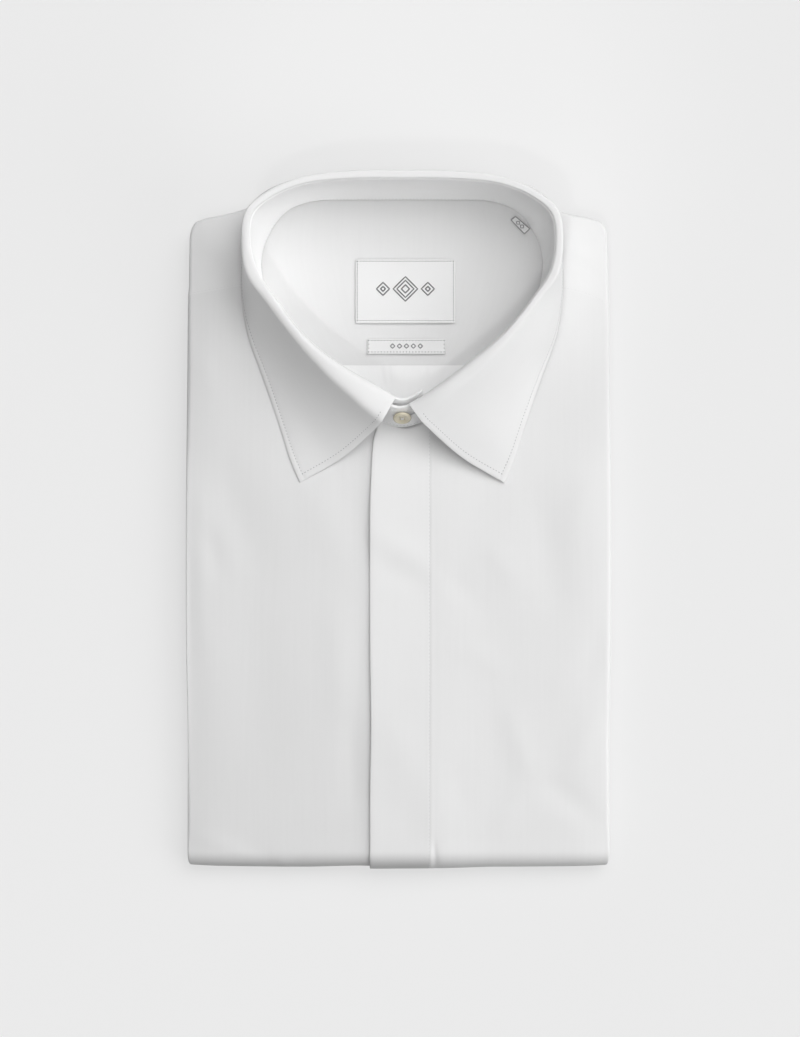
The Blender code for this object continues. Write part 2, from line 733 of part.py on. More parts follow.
def build_size_tab(collection, finish):
    corners = [Vector(place) for place in TAB_CORNERS]
    rows = []
    for j in range(3):
        row = []
        for i in range(4):
            p = corners[3].lerp(corners[2], i / 3).lerp(corners[0].lerp(corners[1], i / 3), j / 2)
            row.append(Vector((p.x, p.y, bowl_height(p.x, p.y) + GAP + LABEL_WALL)))
        rows.append(row)
    return cloth_sheet("size_tab", rows, collection, finish, LABEL_WALL)


def build_button(collection, helpers, finish):
    shape = bmesh.new()
    bmesh.ops.create_cone(
        shape, cap_ends=True, segments=32, radius1=BUTTON_RADIUS * MM,
        radius2=BUTTON_RADIUS * MM, depth=BUTTON_THICKNESS * MM)
    mesh = bpy.data.meshes.new("collar_button")
    shape.to_mesh(mesh)
    shape.free()
    button = new_object("collar_button", mesh, collection, finish)
    out = collar_outward(LOOP_LENGTH)
    above = STAND_WALL + GAP + 0.5 * BUTTON_THICKNESS
    button.location = (stand_point(LOOP_LENGTH, BUTTON_HEIGHT) + out * above) * MM
    button.rotation_euler = out.to_track_quat("Z", "Y").to_euler()
    edge = button.modifiers.new("edge", "BEVEL")
    edge.width = 0.5 * MM
    edge.segments = 2
    edge.limit_method = "ANGLE"
    drill = bmesh.new()
    for sx in (-1.0, 1.0):
        for sy in (-1.0, 1.0):
            made = bmesh.ops.create_cone(
                drill, cap_ends=True, segments=12, radius1=BUTTON_HOLE_RADIUS * MM,
                radius2=BUTTON_HOLE_RADIUS * MM, depth=3.0 * BUTTON_THICKNESS * MM)
            offset = Vector((sx * BUTTON_HOLE_PITCH, sy * BUTTON_HOLE_PITCH, 0.0)) * MM
            bmesh.ops.translate(drill, verts=made["verts"], vec=offset)
    mesh = bpy.data.meshes.new("button_drill")
    drill.to_mesh(mesh)
    drill.free()
    cutter = helper_object("button_drill", mesh, helpers)
    cutter.location = button.location
    cutter.rotation_euler = button.rotation_euler
    cut_with(button, cutter)
    return button


def helper_object(name, mesh, helpers):
    item = bpy.data.objects.new(name, mesh)
    helpers.objects.link(item)
    item.hide_render = True
    item.display_type = "WIRE"
    return item


def cut_with(item, cutter):
    cut = item.modifiers.new("cut", "BOOLEAN")
    cut.operation = "DIFFERENCE"
    cut.solver = "EXACT"
    cut.object = cutter


# ---------------------------------------------------------------- the hidden layers


def layer_end(kind, x, inset):
    """y of the far end of one layer of the bundle at x."""
    if kind == "upper":
        outline = [(p[0], p[1]) for p in SHOULDER_LINE[4:]]
        return table_value(outline, abs(x)) - inset * 1.05
    if kind == "lip":
        return LIP_END_Y - inset
    if kind == "waist":
        return LOWER_END_Y - WAIST_END
    return LOWER_END_Y + end_radius() - inset - 2.0 * STEP


def layer_side(kind, y, inset):
    width = table_value(SIDE_LINE, y)
    narrower = {"upper": 0.0, "lip": 0.8, "waist": LOWER_INSET, "lower": LOWER_INSET}[kind]
    return width - narrower - inset


def roll_bottom(x, z):
    """y where the hidden layers end at the roll, at height z."""
    radius = ROLL_RADIUS - STEP
    height = min(max(z - ROLL_RADIUS, -radius), radius)
    share = smooth_step(acos(height / radius) / pi)
    radius -= (STEP + GAP) * pressed(x) * share + crown(x, ROLL_Y) * (1.0 - share)
    return ROLL_Y - sqrt(max(radius ** 2 - height ** 2, 0.0))


def core_place(i, j, kind, inset, level):
    """One point of a ring of the hidden layers, before its own height is known."""
    last = len(CORE_ROWS) - 1
    corner = CORNER[kind][0 if j <= 1 else 1]
    half = layer_side(kind, 0.0, inset)
    column = CORE_COLUMNS[i]
    if column is None:
        x = (half - corner) * (-1.0 if i == 1 else 1.0)
    else:
        x = column * half
    z_roll = level(x, ROLL_Y)
    bottom = roll_bottom(x, z_roll)
    if kind in ("lip", "waist") and abs(x) > half - LIP_CORNER:
        bottom = max(bottom, ROLL_Y)
    top = layer_end(kind, x, inset)
    ends = {0: bottom, 1: bottom + corner, last - 1: top - corner, last: top}
    y = ends[j] if j in ends else min(CORE_ROWS[j], top - CORNER[kind][1] - CORE_ROW_ROOM)
    if abs(column or 0.0) == 1.0:
        x = (1.0 if x > 0 else -1.0) * layer_side(kind, y, inset)
    if abs(column or 0.0) == 1.0 and j in (0, last):
        x -= CORNER_EASE * corner * (1.0 if x > 0 else -1.0)
        y += CORNER_EASE * corner * (1.0 if j == 0 else -1.0)
    return Vector((x, y, level(x, y)))


def core_rings():
    """Rings from the underside up, each a layer, its inset and its height."""
    rings = []

    def arm(kind, low, high, press):
        for k in range(5):
            angle = -0.5 * pi + pi * k / 4

            def level(x, y, angle=angle):
                bottom = low(x, y)
                top = high(x, y)
                radius = 0.5 * (top - bottom)
                lift = press(x) * smooth_step(0.5 - angle / pi)
                return 0.5 * (top + bottom) + (radius - STEP) * sin(angle) + lift

            radius = 0.5 * (high(100.0, 0.0) - low(100.0, 0.0))
            rings.append((kind, radius - (radius - STEP - CORE_CLEAR) * cos(angle), level))
        return radius

    def lower_top(x, y):
        return middle_height(y) - ARM_CLEAR

    def upper_bottom(x, y):
        return middle_height(y) + ARM_CLEAR

    def upper_top(x, y):
        return top_height(y) - crown(x, y)

    lower_radius = arm("lower", lambda x, y: 0.0, lower_top, lambda x: STEP * pressed(x))
    waist_low = lower_radius + WAIST_MORE
    rings.append(("lower", waist_low, lambda x, y: lower_top(x, y) - STEP + WAIST_CLEAR))
    rings.append(("waist", waist_low, lambda x, y: middle_height(y) - LIP_HALF))
    for inset, height in ((LIP_INSET, -0.5), (LIP_INSET, 0.5)):
        rings.append(("lip", inset, lambda x, y, h=height: middle_height(y) + h * LIP_HALF))
    upper_radius = 0.5 * (upper_top(100.0, 0.0) - upper_bottom(100.0, 0.0))
    waist_high = upper_radius + WAIST_MORE
    rings.append(("lip", waist_high, lambda x, y: middle_height(y) + LIP_HALF))
    rings.append(("upper", waist_high, lambda x, y: upper_bottom(x, y) + STEP - WAIST_CLEAR))
    arm("upper", upper_bottom, upper_top, lambda x: 0.0)
    return rings


def neck_cutter(helpers):
    """What is taken out of the hidden layers for the open neck."""
    shape = bmesh.new()
    steps = [0.5 * k for k in range(LOOP_LENGTH * 2)]
    loops = []
    for ratio in (0.3, 0.6, 0.82, 0.93, 1.0):
        ring = []
        for t in steps:
            rim = neck_line(t, CUT_CLEAR - (FRONT_CLEAR if t < 1.6 or t > LOOP_LENGTH - 1.6 else 0.0))
            x = lerp(BOWL_CENTRE[0], rim.x, ratio)
            y = lerp(BOWL_CENTRE[1], rim.y, ratio)
            ring.append(Vector((x, y, bowl_height(x, y) - LABEL_WALL - 1.5 * GAP)))
        loops.append(ring)
    loops.append([Vector((p.x, p.y, 30.0)) for p in loops[-1]])
    made = [[shape.verts.new(point * MM) for point in ring] for ring in loops]
    count = len(steps)
    for low, high in zip(made, made[1:]):
        for k in range(count):
            n = (k + 1) % count
            shape.faces.new((low[k], low[n], high[n], high[k]))
    shape.faces.new(made[0])
    shape.faces.new(made[-1])
    bmesh.ops.recalc_face_normals(shape, faces=shape.faces)
    mesh = bpy.data.meshes.new("neck_cutter")
    shape.to_mesh(mesh)
    shape.free()
    return helper_object("neck_cutter", mesh, helpers)


def build_hidden_layers(collection, helpers, finish):
    columns, rows = len(CORE_COLUMNS), len(CORE_ROWS)
    rings = core_rings()
    loops = []
    for kind, inset, level in rings:
        loops.append([core_place(i, j, kind, inset, level) for i, j in border_keys(columns, rows)])

    def cap(ring):
        kind, inset, level = ring
        return (lambda i, j: core_place(i, j, kind, inset, level)), columns, rows

    shape = closed_grid(loops, (cap(rings[0]), cap(rings[-1])))
    mesh = bpy.data.meshes.new("folded_layers")
    shape.to_mesh(mesh)
    shape.free()
    core = new_object("folded_layers", mesh, collection, finish)
    cut_with(core, neck_cutter(helpers))
    return core


# ---------------------------------------------------------------- the shirt

def make_finish(name):
    colour, roughness = COLOURS[name]
    finish = bpy.data.materials.new(name)
    finish.use_nodes = True
    shader = finish.node_tree.nodes["Principled BSDF"]
    shader.inputs["Base Color"].default_value = colour
    shader.inputs["Roughness"].default_value = roughness
    shader.inputs["Metallic"].default_value = 0.0
    return finish


def build_shirt():
    for item in list(bpy.data.objects):
        bpy.data.objects.remove(item, do_unlink=True)
    shirt = bpy.data.collections.new(SHIRT)
    helpers = bpy.data.collections.new("helpers")
    for collection in (shirt, helpers):
        bpy.context.scene.collection.children.link(collection)
    finishes = {name: make_finish(name) for name in COLOURS}
    cloth = finishes["shirting"]
    left_xs = (BUTTON_STAND, 4.0, -5.0, PLACKET_LEFT - 1.4, -26.0, -38.0, -50.0, -60.0, -66.0,
               -68.6, -76.0, -88.0)
    right_xs = (PLACKET_RIGHT + GAP, 20.0, 28.0, 39.0, 51.0, 62.0, 69.0, 72.0, 79.0, 89.0)
    build_hidden_layers(shirt, helpers, cloth)
    build_front("front_right", left_xs, -1.0, right_layer, shirt, cloth)
    build_front("front_left", right_xs, 1.0, left_layer, shirt, cloth)
    build_placket(shirt, cloth)
    build_yoke(shirt, cloth)
    build_yoke_lining(shirt, cloth)
    build_back(shirt, cloth)
    build_stand(shirt, cloth)
    build_fall(shirt, cloth)
    build_label("neck_label", NECK_LABEL, shirt, finishes["label"])
    build_label("small_label", SMALL_LABEL, shirt, finishes["label"])
    build_size_tab(shirt, finishes["label"])
    build_button(shirt, helpers, finishes["button"])


build_shirt()
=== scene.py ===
"""A long sleeve dress shirt, folded for the shelf and lying face up.

Lengths are millimetres and are turned into metres when a mesh is made. X runs
across the shirt, Y from the folded bottom up to the collar, and Z is up. The
bundle is folded once across the bottom. Cloth that wraps it is placed by x, by
w (its place along that U, equal to y on the top face) and by its depth.
"""
from math import cos, exp, hypot, pi, radians, sin

import bmesh
import bpy
from mathutils import Matrix, Vector, noise


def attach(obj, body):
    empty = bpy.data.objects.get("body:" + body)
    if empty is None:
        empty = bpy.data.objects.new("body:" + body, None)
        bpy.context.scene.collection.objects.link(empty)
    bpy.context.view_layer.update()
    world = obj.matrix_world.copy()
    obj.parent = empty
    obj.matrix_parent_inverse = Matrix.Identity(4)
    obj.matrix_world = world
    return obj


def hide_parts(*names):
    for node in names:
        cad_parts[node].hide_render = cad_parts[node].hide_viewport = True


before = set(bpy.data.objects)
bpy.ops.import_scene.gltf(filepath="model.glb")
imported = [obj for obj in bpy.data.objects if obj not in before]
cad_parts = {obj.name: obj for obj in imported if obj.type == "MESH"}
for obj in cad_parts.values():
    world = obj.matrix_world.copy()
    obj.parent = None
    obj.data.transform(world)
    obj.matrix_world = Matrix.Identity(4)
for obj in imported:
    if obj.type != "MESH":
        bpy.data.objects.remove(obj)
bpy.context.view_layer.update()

MM = 0.001

# ---------------------------------------------------------------- the cut

CLOTH_WALL = 0.75
PLACKET_WALL = 1.1
STAND_WALL = 1.5
FALL_WALL = 0.9
LABEL_WALL = 0.45
LINING_WALL = 0.6
PLY_WALL = 0.5
SEAM_DIP = 0.055          # how deep a sewn edge lies under the cloth beside it
STEP = 1.5                # one layer of the folded front over another
UNDER_EDGE_RISE = (0.37, 0.55)   # of the front under the placket's edge, low down and near the collar
FLUSH = 0.13              # how deep stitches are pressed in on the underside

ROLL_RADIUS = 6.6         # the fold across the bottom
ROLL_REACH = 8.8          # how far it stands out
ROLL_Y = -162.6
ROLL_LENGTH = pi * ROLL_RADIUS
CROWN = 1.2               # the top face is lower at the sides
CROWN_SPAN = 104.0
SIDE_DROP = 0.9           # and drops a little more beside the side folds
SIDE_DROP_FROM = 86.0
SIDE_DROP_OVER = 17.0
ARM_CLEAR = 1.1           # half of the groove between the two halves of the bundle
LOWER_INSET = 1.6
FOLD_RETURN = 5.0         # how far a side fold runs back into the groove
LOWER_END_Y = 127.0       # where the tail turns up inside the lower half
END_FOLD_REACH = pi / 3
END_CORNER = 1.5
END_BLEND = 22.0
STRAIGHT_Y = 20.0         # below this the rows of the fronts are straight

TOP_LINE = (              # y, height of the top face
    (162.0, 11.6), (140.0, 13.0), (115.0, 14.6), (80.0, 15.6), (40.0, 16.4),
    (0.0, 16.6), (-60.0, 16.2), (-110.0, 15.4), (-145.0, 14.3), (-162.6, 13.2),
)
SIDE_LINE = (             # y, half width
    (162.0, 102.4), (140.0, 102.7), (119.0, 103.3), (75.0, 103.7), (0.0, 104.4),
    (-60.0, 104.3), (-108.0, 103.5), (-145.0, 103.6), (-180.0, 103.7),
)
SHOULDER_LINE = (         # x, y along the side and over the shoulder to the centre back
    (103.0, 110.0), (102.9, 121.0), (102.7, 133.0), (102.4, 140.5), (100.8, 145.0),
    (95.5, 147.2), (84.0, 149.6), (73.0, 153.0), (62.0, 157.6), (47.0, 161.4),
    (24.0, 163.2), (0.0, 163.5),
)
PLACKET_LEFT = -14.1
PLACKET_RIGHT = 15.3
BUTTON_STAND = 12.0
PRESS_BLEND = 34.0
YOKE_SEAM = {             # y at the neck, y at the side, and how late the seam bends down
    "left": (115.3, 109.4, 1.05), "right": (112.7, 103.5, 2.6),
}
SEAM_SPAN = (70.0, 103.8)
SEWN = 0.02               # half the space between two sewn edges
SQUARE_EDGE = 1.1         # sewn sides keep square edges
CREASE_DEPTH = 1.3        # scales every listed crease

COLLAR_X = 1.7
COLLAR_COLUMNS = ("neck", "seam", "crest", "brow", "cheek", "hem")
COLLAR = (                # one half, from the centre front round to the centre back
    ((0.2, 46.5, 17.2), (2.6, 57.0, 32.6), (5.0, 54.4, 35.2), (10.8, 46.6, 33.4), (29.5, 29.5, 23.6),
     (50.2, 17.4, 19.2)),
    ((15.7, 52.6, 17.0), (14.6, 64.8, 35.0), (17.4, 62.6, 38.7), (22.9, 57.2, 36.6), (41.0, 41.0, 25.0),
     (54.6, 27.6, 18.9)),
    ((32.8, 64.9, 16.4), (31.0, 75.7, 38.2), (33.4, 73.8, 41.6), (37.4, 69.6, 40.6), (51.2, 55.0, 25.2),
     (60.0, 44.3, 18.6)),
    ((49.9, 82.0, 15.6), (48.5, 90.6, 41.0), (50.0, 89.4, 44.2), (52.8, 86.8, 43.4), (61.8, 75.5, 28.6),
     (68.8, 69.7, 18.0)),
    ((61.7, 99.2, 14.8), (61.0, 107.3, 43.0), (63.2, 107.0, 44.9), (66.6, 105.2, 44.2), (72.2, 95.4, 31.0),
     (75.7, 89.4, 17.2)),
    ((67.6, 115.4, 13.9), (69.3, 119.4, 44.0), (71.8, 119.6, 45.3), (75.3, 117.3, 44.7), (76.6, 112.6, 31.0),
     (78.3, 105.0, 16.4)),
    ((68.6, 127.7, 13.2), (73.0, 133.2, 44.0), (75.1, 133.0, 45.3), (77.8, 132.7, 44.7), (77.5, 130.6, 31.0),
     (78.5, 125.6, 15.8)),
    ((64.2, 140.5, 12.3), (71.6, 147.2, 44.0), (73.2, 148.2, 45.3), (75.3, 149.5, 44.7), (75.7, 149.6, 31.0),
     (76.0, 147.6, 15.4)),
    ((55.9, 150.8, 11.5), (62.4, 155.2, 43.2), (63.6, 156.2, 44.5), (65.5, 157.9, 43.9), (65.6, 160.2, 28.0),
     (66.0, 160.0, 9.6)),
    ((44.1, 155.3, 11.1), (49.2, 160.8, 42.8), (49.7, 162.1, 44.0), (50.7, 164.6, 43.5), (51.0, 165.2, 28.0),
     (51.1, 164.8, 7.4)),
    ((25.5, 156.0, 10.9), (25.2, 163.6, 42.5), (25.2, 165.3, 43.7), (25.2, 168.1, 43.2), (25.3, 169.0, 27.0),
     (25.5, 168.7, 6.6)),
    ((0.0, 156.1, 10.9), (0.0, 163.8, 42.5), (0.0, 165.6, 43.7), (0.0, 168.5, 43.2), (0.0, 169.6, 27.0),
     (0.0, 169.2, 6.4)),
)
SIDE_RISE = {             # how much higher the first rows lie on the wearer's right and on the left
    -1.0: {
        "seam": (0.6, 1.0, 0.0, -3.0, -5.0, -4.0, -2.0),
        "crest": (1.2, 1.6, 0.4, -2.8, -5.0, -4.0, -2.0),
        "brow": (-0.6, 0.4, -1.2, -4.0, -6.2, -5.0, -2.8),
        "cheek": (-4.2, -5.2, -4.8, -7.6, -9.8, -5.4, -2.0),
        "hem": (-2.2, -2.1, -2.3, -2.2, -1.8, -1.0),
    },
    1.0: {"cheek": (-0.8, -0.8, -0.2), "hem": (-1.6, -1.5, -1.0, -0.6, -0.4)},
}
SIDE_REACH = {            # how much further out rows of the wearer's left lie
    "seam": {3: 0.8, 4: 2.0, 5: 1.8, 6: 0.6},
    "crest": {3: 0.6, 4: 1.5, 5: 1.3, 6: 0.4},
}
CENTRE_BACK = len(COLLAR) - 1
LOOP_LENGTH = 2 * CENTRE_BACK
INNER_END = -0.72         # the wearer's right end of the stand, underneath
OUTER_END = LOOP_LENGTH + 0.78
END_SPREAD = {"neck": 1.0, "seam": 1.9}
FALL_SPREAD = {           # how far the fall moves out at the inner and the outer end
    "seam": (-1.9, 1.9),
    "crest": (-1.0, 1.9),
    "brow": (1.2, 1.3),
    "cheek": (0.0, 0.0),
    "hem": (0.0, 0.0),
}
SEAM_GAP = 0.2            # the leaf over the stand's top edge, round the back
FRONT_SEAM_GAP = 1.3      # and how much more at the front
SEAM_LEDGE = 0.4          # how far the leaf is set back on the stand's top edge
STAND_BULGE = 0.8
OUTER_END_DROP = 1.6      # the buttoned end of the stand lies lower
PANEL_CLEAR = 2.4         # from the inside of the neck to the fronts, the yoke and the lining
YOKE_CLEAR = 3.0
LINING_CLEAR = 0.9
FRONT_CLEAR = 0.35        # and how much more at the front of the neck
FRONT_REACH = 1.6         # rows of the collar that count as its front

BOWL_CENTRE = (1.7, 110.0)
BOWL_FLOOR = 11.8         # the flat part of the cloth inside the neck
BOWL_FRONT_RISE = 0.6     # over that at the front of the neck
BOWL_RIM_DIP = 0.12       # under the neck seam at the back
BOWL_RISING = (92.0, 25.0)       # y where it starts to rise to the seam, and over how far
YOKE_BACK_Y = 75.2
LINING_SPAN = (2.62, 7.7)        # rows of the collar beside the lining, and beside the back
BACK_SPAN = (1.2, 2.58)

NECK_LABEL = (3.4, 111.65, 49.5, 31.5)      # centre x, centre y, width, height
SMALL_LABEL = (3.9, 84.5, 38.8, 7.4)
LABEL_CURL = 0.6          # how far a label's lower edge lifts, and over what length
LABEL_CURL_REACH = 1.2
TAB_CORNERS = ((57.2, 148.5), (64.8, 141.9), (61.9, 139.2), (54.8, 146.6))
TAB_LIFT = 1.2            # the size tab over the cloth, and how much more at its free edge
TAB_CURL = 0.5

BUTTON_PROFILE = (        # radius, height: over the dished face, round the rim, under it
    (1.5, 0.36), (2.5, 0.42), (2.9, 0.72), (3.4, 0.88), (3.9, 0.80), (4.3, 0.50), (4.5, 0.05),
    (4.4, -0.40), (3.9, -0.76), (2.9, -0.90), (1.5, -0.90),
)
BUTTON_HOLE_RADIUS = 0.45
BUTTON_HOLE_PITCH = 0.85
BUTTON_HEIGHT = 0.655     # how far up the stand it is sewn
BUTTON_CLEAR = 0.3
BUTTONHOLE_SHIFT = 0.1    # of its middle from the button, in rows of the collar
BUTTONHOLE_HALF = 0.34    # half its length, in rows of the collar
BUTTONHOLE_OPEN = 0.026   # half its opening, as a share of the stand's height

EDGE_STITCH = 3.2         # from the collar's edge to its row of stitches


# ---------------------------------------------------------------- curves

def lerp(a, b, t):
    return a + (b - a) * t


def clamp(t, low=0.0, high=1.0):
    return min(max(t, low), high)


def smooth_step(t):
    t = clamp(t)
    return t * t * (3.0 - 2.0 * t)


def through(before, start, end, after, t):
    """A smooth curve between start and end whose slopes allow for uneven spacing."""
    first = max((start - before).length, 1e-6)
    span = max((end - start).length, 1e-6)
    last = max((after - end).length, 1e-6)
    slope_in = (start - before) * (span / first) + (end - start) * (first / span)
    slope_out = (end - start) * (last / span) + (after - end) * (span / last)
    return bridge(start, slope_in * (span / (first + span)), end, slope_out * (span / (span + last)), t)


def bridge(start, slope_in, end, slope_out, t):
    """A curve from start to end that leaves and arrives along the two slopes."""
    leave = t ** 3 - 2 * t ** 2 + t
    arrive = t ** 3 - t ** 2
    share = 3 * t ** 2 - 2 * t ** 3
    return start * (1 - share) + slope_in * leave + end * share + slope_out * arrive


def table_value(table, key):
    """Read a two-column table at key along a smooth curve that is level at its ends."""
    rows = sorted(table)
    if key <= rows[0][0]:
        return rows[0][1]
    if key >= rows[-1][0]:
        return rows[-1][1]
    at = max(k for k in range(len(rows) - 1) if rows[k][0] <= key)

    def slope(k):
        if k == 0 or k == len(rows) - 1:
            return 0.0
        return (rows[k + 1][1] - rows[k - 1][1]) / (rows[k + 1][0] - rows[k - 1][0])

    low, high = rows[at], rows[at + 1]
    span = high[0] - low[0]
    return bridge(low[1], slope(at) * span, high[1], slope(at + 1) * span, (key - low[0]) / span)


def spread(low, high, pace):
    """Even steps from low to high, no longer than pace, both ends included."""
    count = max(int(round(abs(high - low) / pace)), 1)
    return [lerp(low, high, k / count) for k in range(count + 1)]


def line_lengths(points):
    lengths = [0.0]
    for a, b in zip(points, points[1:]):
        lengths.append(lengths[-1] + (b - a).length)
    return lengths


def along_line(points, lengths, reach):
    reach = clamp(reach, 0.0, lengths[-1])
    for k in range(len(points) - 1):
        if reach <= lengths[k + 1]:
            span = max(lengths[k + 1] - lengths[k], 1e-9)
            return points[k].lerp(points[k + 1], (reach - lengths[k]) / span)
    return points[-1].copy()


def creases_at(creases, x, y):
    """Height of listed soft ridges and troughs: from, to, half width and rise."""
    total = 0.0
    for from_x, from_y, to_x, to_y, half, rise in creases:
        along_x, along_y = to_x - from_x, to_y - from_y
        length = hypot(along_x, along_y)
        t = ((x - from_x) * along_x + (y - from_y) * along_y) / length ** 2
        if not -0.3 < t < 1.3:
            continue
        off = ((x - from_x) * along_y - (y - from_y) * along_x) / length
        off += 0.06 * length * (t - 0.5) ** 2 * (1.0 if rise > 0 else -1.0)
        total += rise * exp(-(off / half) ** 2) * exp(-((t - 0.5) / 0.42) ** 4)
    return total * CREASE_DEPTH


# ---------------------------------------------------------------- the bundle

def top_height(y):
    return table_value(TOP_LINE, y)


def middle_height(y):
    return 0.5 * top_height(max(y, ROLL_Y))


def under(w):
    """0 on the top face, 1 on the underside, easing over the roll."""
    return smooth_step((ROLL_Y - w) / ROLL_LENGTH)


def end_radius():
    return 0.5 * (middle_height(LOWER_END_Y) - ARM_CLEAR)


UNDER_START = ROLL_Y - ROLL_LENGTH
UNDER_END = UNDER_START - (LOWER_END_Y - ROLL_Y)


def u_path(w):
    """Place and outward normal, in Y and Z, at w along the U fold."""
    if w >= ROLL_Y:
        slope = (top_height(w + 0.5) - top_height(w - 0.5)) if w > ROLL_Y else 0.0
        size = hypot(slope, 1.0)
        return w, top_height(w), -slope / size, 1.0 / size
    if w >= UNDER_START:
        angle = (ROLL_Y - w) / ROLL_RADIUS
        y = ROLL_Y - ROLL_REACH * sin(angle)
        size = hypot(ROLL_RADIUS * sin(angle), ROLL_REACH * cos(angle))
        normal_y, normal_z = -ROLL_RADIUS * sin(angle) / size, ROLL_REACH * cos(angle) / size
        return y, ROLL_RADIUS * (1.0 + cos(angle)), normal_y, normal_z
    if w >= UNDER_END:
        return ROLL_Y + (UNDER_START - w), 0.0, 0.0, -1.0
    radius = end_radius()
    angle = min((UNDER_END - w) / radius, pi)
    past = max((UNDER_END - w) - pi * radius, 0.0)
    y = LOWER_END_Y + radius * sin(angle) - past
    return y, radius * (1.0 - cos(angle)), sin(angle), -cos(angle)


def crown(x, w):
    """How far the top face falls towards its sides."""
    edge = SIDE_DROP * clamp((abs(x) - SIDE_DROP_FROM) / SIDE_DROP_OVER, 0.0, 1.2) ** 2
    return (CROWN * (abs(x) / CROWN_SPAN) ** 4 + edge) * (1.0 - under(w))


def pressed(x):
    """1 beside and beneath the placket, easing to 0 away from it."""
    if x < PLACKET_LEFT:
        return 1.0 - smooth_step((PLACKET_LEFT - x) / PRESS_BLEND)
    if x > PLACKET_RIGHT:
        return 1.0 - smooth_step((x - PLACKET_RIGHT) / PRESS_BLEND)
    return 1.0


def side_width(w):
    y = u_path(w)[0]
    return table_value(SIDE_LINE, y) - LOWER_INSET * under(w)


def fold_radius(w):
    """Radius of the side fold: half of that arm of the bundle."""
    if w >= ROLL_Y:
        arm = middle_height(w)
    elif w >= UNDER_START:
        arm = ROLL_RADIUS
    else:
        arm = middle_height(u_path(w)[0])
    return 0.5 * (arm - ARM_CLEAR - crown(100.0, w))


def body_point(x, w, depth):
    y, z, normal_y, normal_z = u_path(w)
    depth = depth + crown(x, w)
    return Vector((x, y - depth * normal_y, z - depth * normal_z))


# ---------------------------------------------------------------- the collar

def collar_row(index, column, side):
    x, y, z = COLLAR[index][COLLAR_COLUMNS.index(column)]
    rises = SIDE_RISE[side].get(column, ())
    if index < len(rises):
        z += rises[index]
    if side > 0.0:
        x += SIDE_REACH.get(column, {}).get(index, 0.0)
    return Vector((COLLAR_X + side * x, y, z))


def collar_key(number, column, closed):
    """Row of the whole collar: 0 at the left front, then round the back."""
    if closed:
        number %= LOOP_LENGTH
    number = int(clamp(number, 0, LOOP_LENGTH))
    if number <= CENTRE_BACK:
        return collar_row(number, column, -1.0)
    return collar_row(LOOP_LENGTH - number, column, 1.0)


def collar_point(t, column, closed=False):
    start = int(t // 1)
    if not closed:
        start = int(clamp(start, 0, LOOP_LENGTH - 1))
    keys = [collar_key(start + step, column, closed) for step in (-1, 0, 1, 2)]
    if closed:
        for slot, step in enumerate((-1, 0, 1, 2)):
            if (start + step) % LOOP_LENGTH == 0:
                keys[slot] = Vector((COLLAR_X, keys[slot].y, keys[slot].z))
    return through(*keys, t - start)


def end_shift(t):
    """-1 on the inner end of the stand, 1 on the outer end, 0 elsewhere."""
    inner = 1.0 - smooth_step((t - 0.6) / 1.9)
    outer = smooth_step((t - (LOOP_LENGTH - 2.5)) / 1.9)
    return outer - inner


def collar_outward(t):
    """Level outward direction of the collar, tilted up where the stand leans in."""
    along = collar_point(t + 0.05, "seam", True) - collar_point(t - 0.05, "seam", True)
    rise = collar_point(t, "seam", True) - collar_point(t, "neck", True)
    return rise.cross(along).normalized()


def stand_point(t, height):
    """The inside face of the stand; height is 0 at the neck and 1 at the top."""
    low = collar_point(t, "neck", True)
    high = collar_point(t, "seam", True)
    out = collar_outward(t)
    shift = end_shift(t)
    drop = OUTER_END_DROP * smooth_step((t - (LOOP_LENGTH - 0.6)) / 1.0)
    high = high + out * shift * END_SPREAD["seam"] - (high - low).normalized() * drop
    low = low + out * shift * END_SPREAD["neck"]
    return low.lerp(high, height) + out * sin(pi * height) * STAND_BULGE


def neck_line(t, outward):
    """The neck seam moved outwards in plan, where the body cloth ends."""
    here = collar_point(t, "neck", True)
    along = collar_point(t + 0.05, "neck", True) - collar_point(t - 0.05, "neck", True)
    level = Vector((-along.y, along.x, 0.0)).normalized()
    front = 1.0 - smooth_step(min(t, LOOP_LENGTH - t) / FRONT_REACH)
    return here + level * (outward + FRONT_CLEAR * front)


FRONT_NECK = {
    side: [neck_line(0.1 * k if side < 0 else LOOP_LENGTH - 0.1 * k, PANEL_CLEAR) for k in range(66)]
    for side in (-1.0, 1.0)
}


def front_neck_y(x):
    """y of the fronts' neck edge at x; very large outside the neck."""
    side = -1.0 if x < COLLAR_X else 1.0
    line = FRONT_NECK[side]
    for near, far in zip(line, line[1:]):
        if side * (near.x - x) <= 0.0 <= side * (far.x - x):
            return lerp(near.y, far.y, (x - near.x) / (far.x - near.x))
    return 1000.0


def seam_y(x):
    """y of the yoke's front seam at x."""
    at_neck, at_side, bend = YOKE_SEAM["left" if x < 0 else "right"]
    share = clamp((abs(x) - SEAM_SPAN[0]) / (SEAM_SPAN[1] - SEAM_SPAN[0]))
    return lerp(at_neck, at_side, share ** bend)


def seam_dip(reach):
    """The cloth sinks a little towards a sewn edge that is reach away."""
    return SEAM_DIP * exp(-(reach / 0.7) ** 2)


NECK_LOOP = [collar_point(0.25 * k, "neck", True) for k in range(LOOP_LENGTH * 4 + 1)]


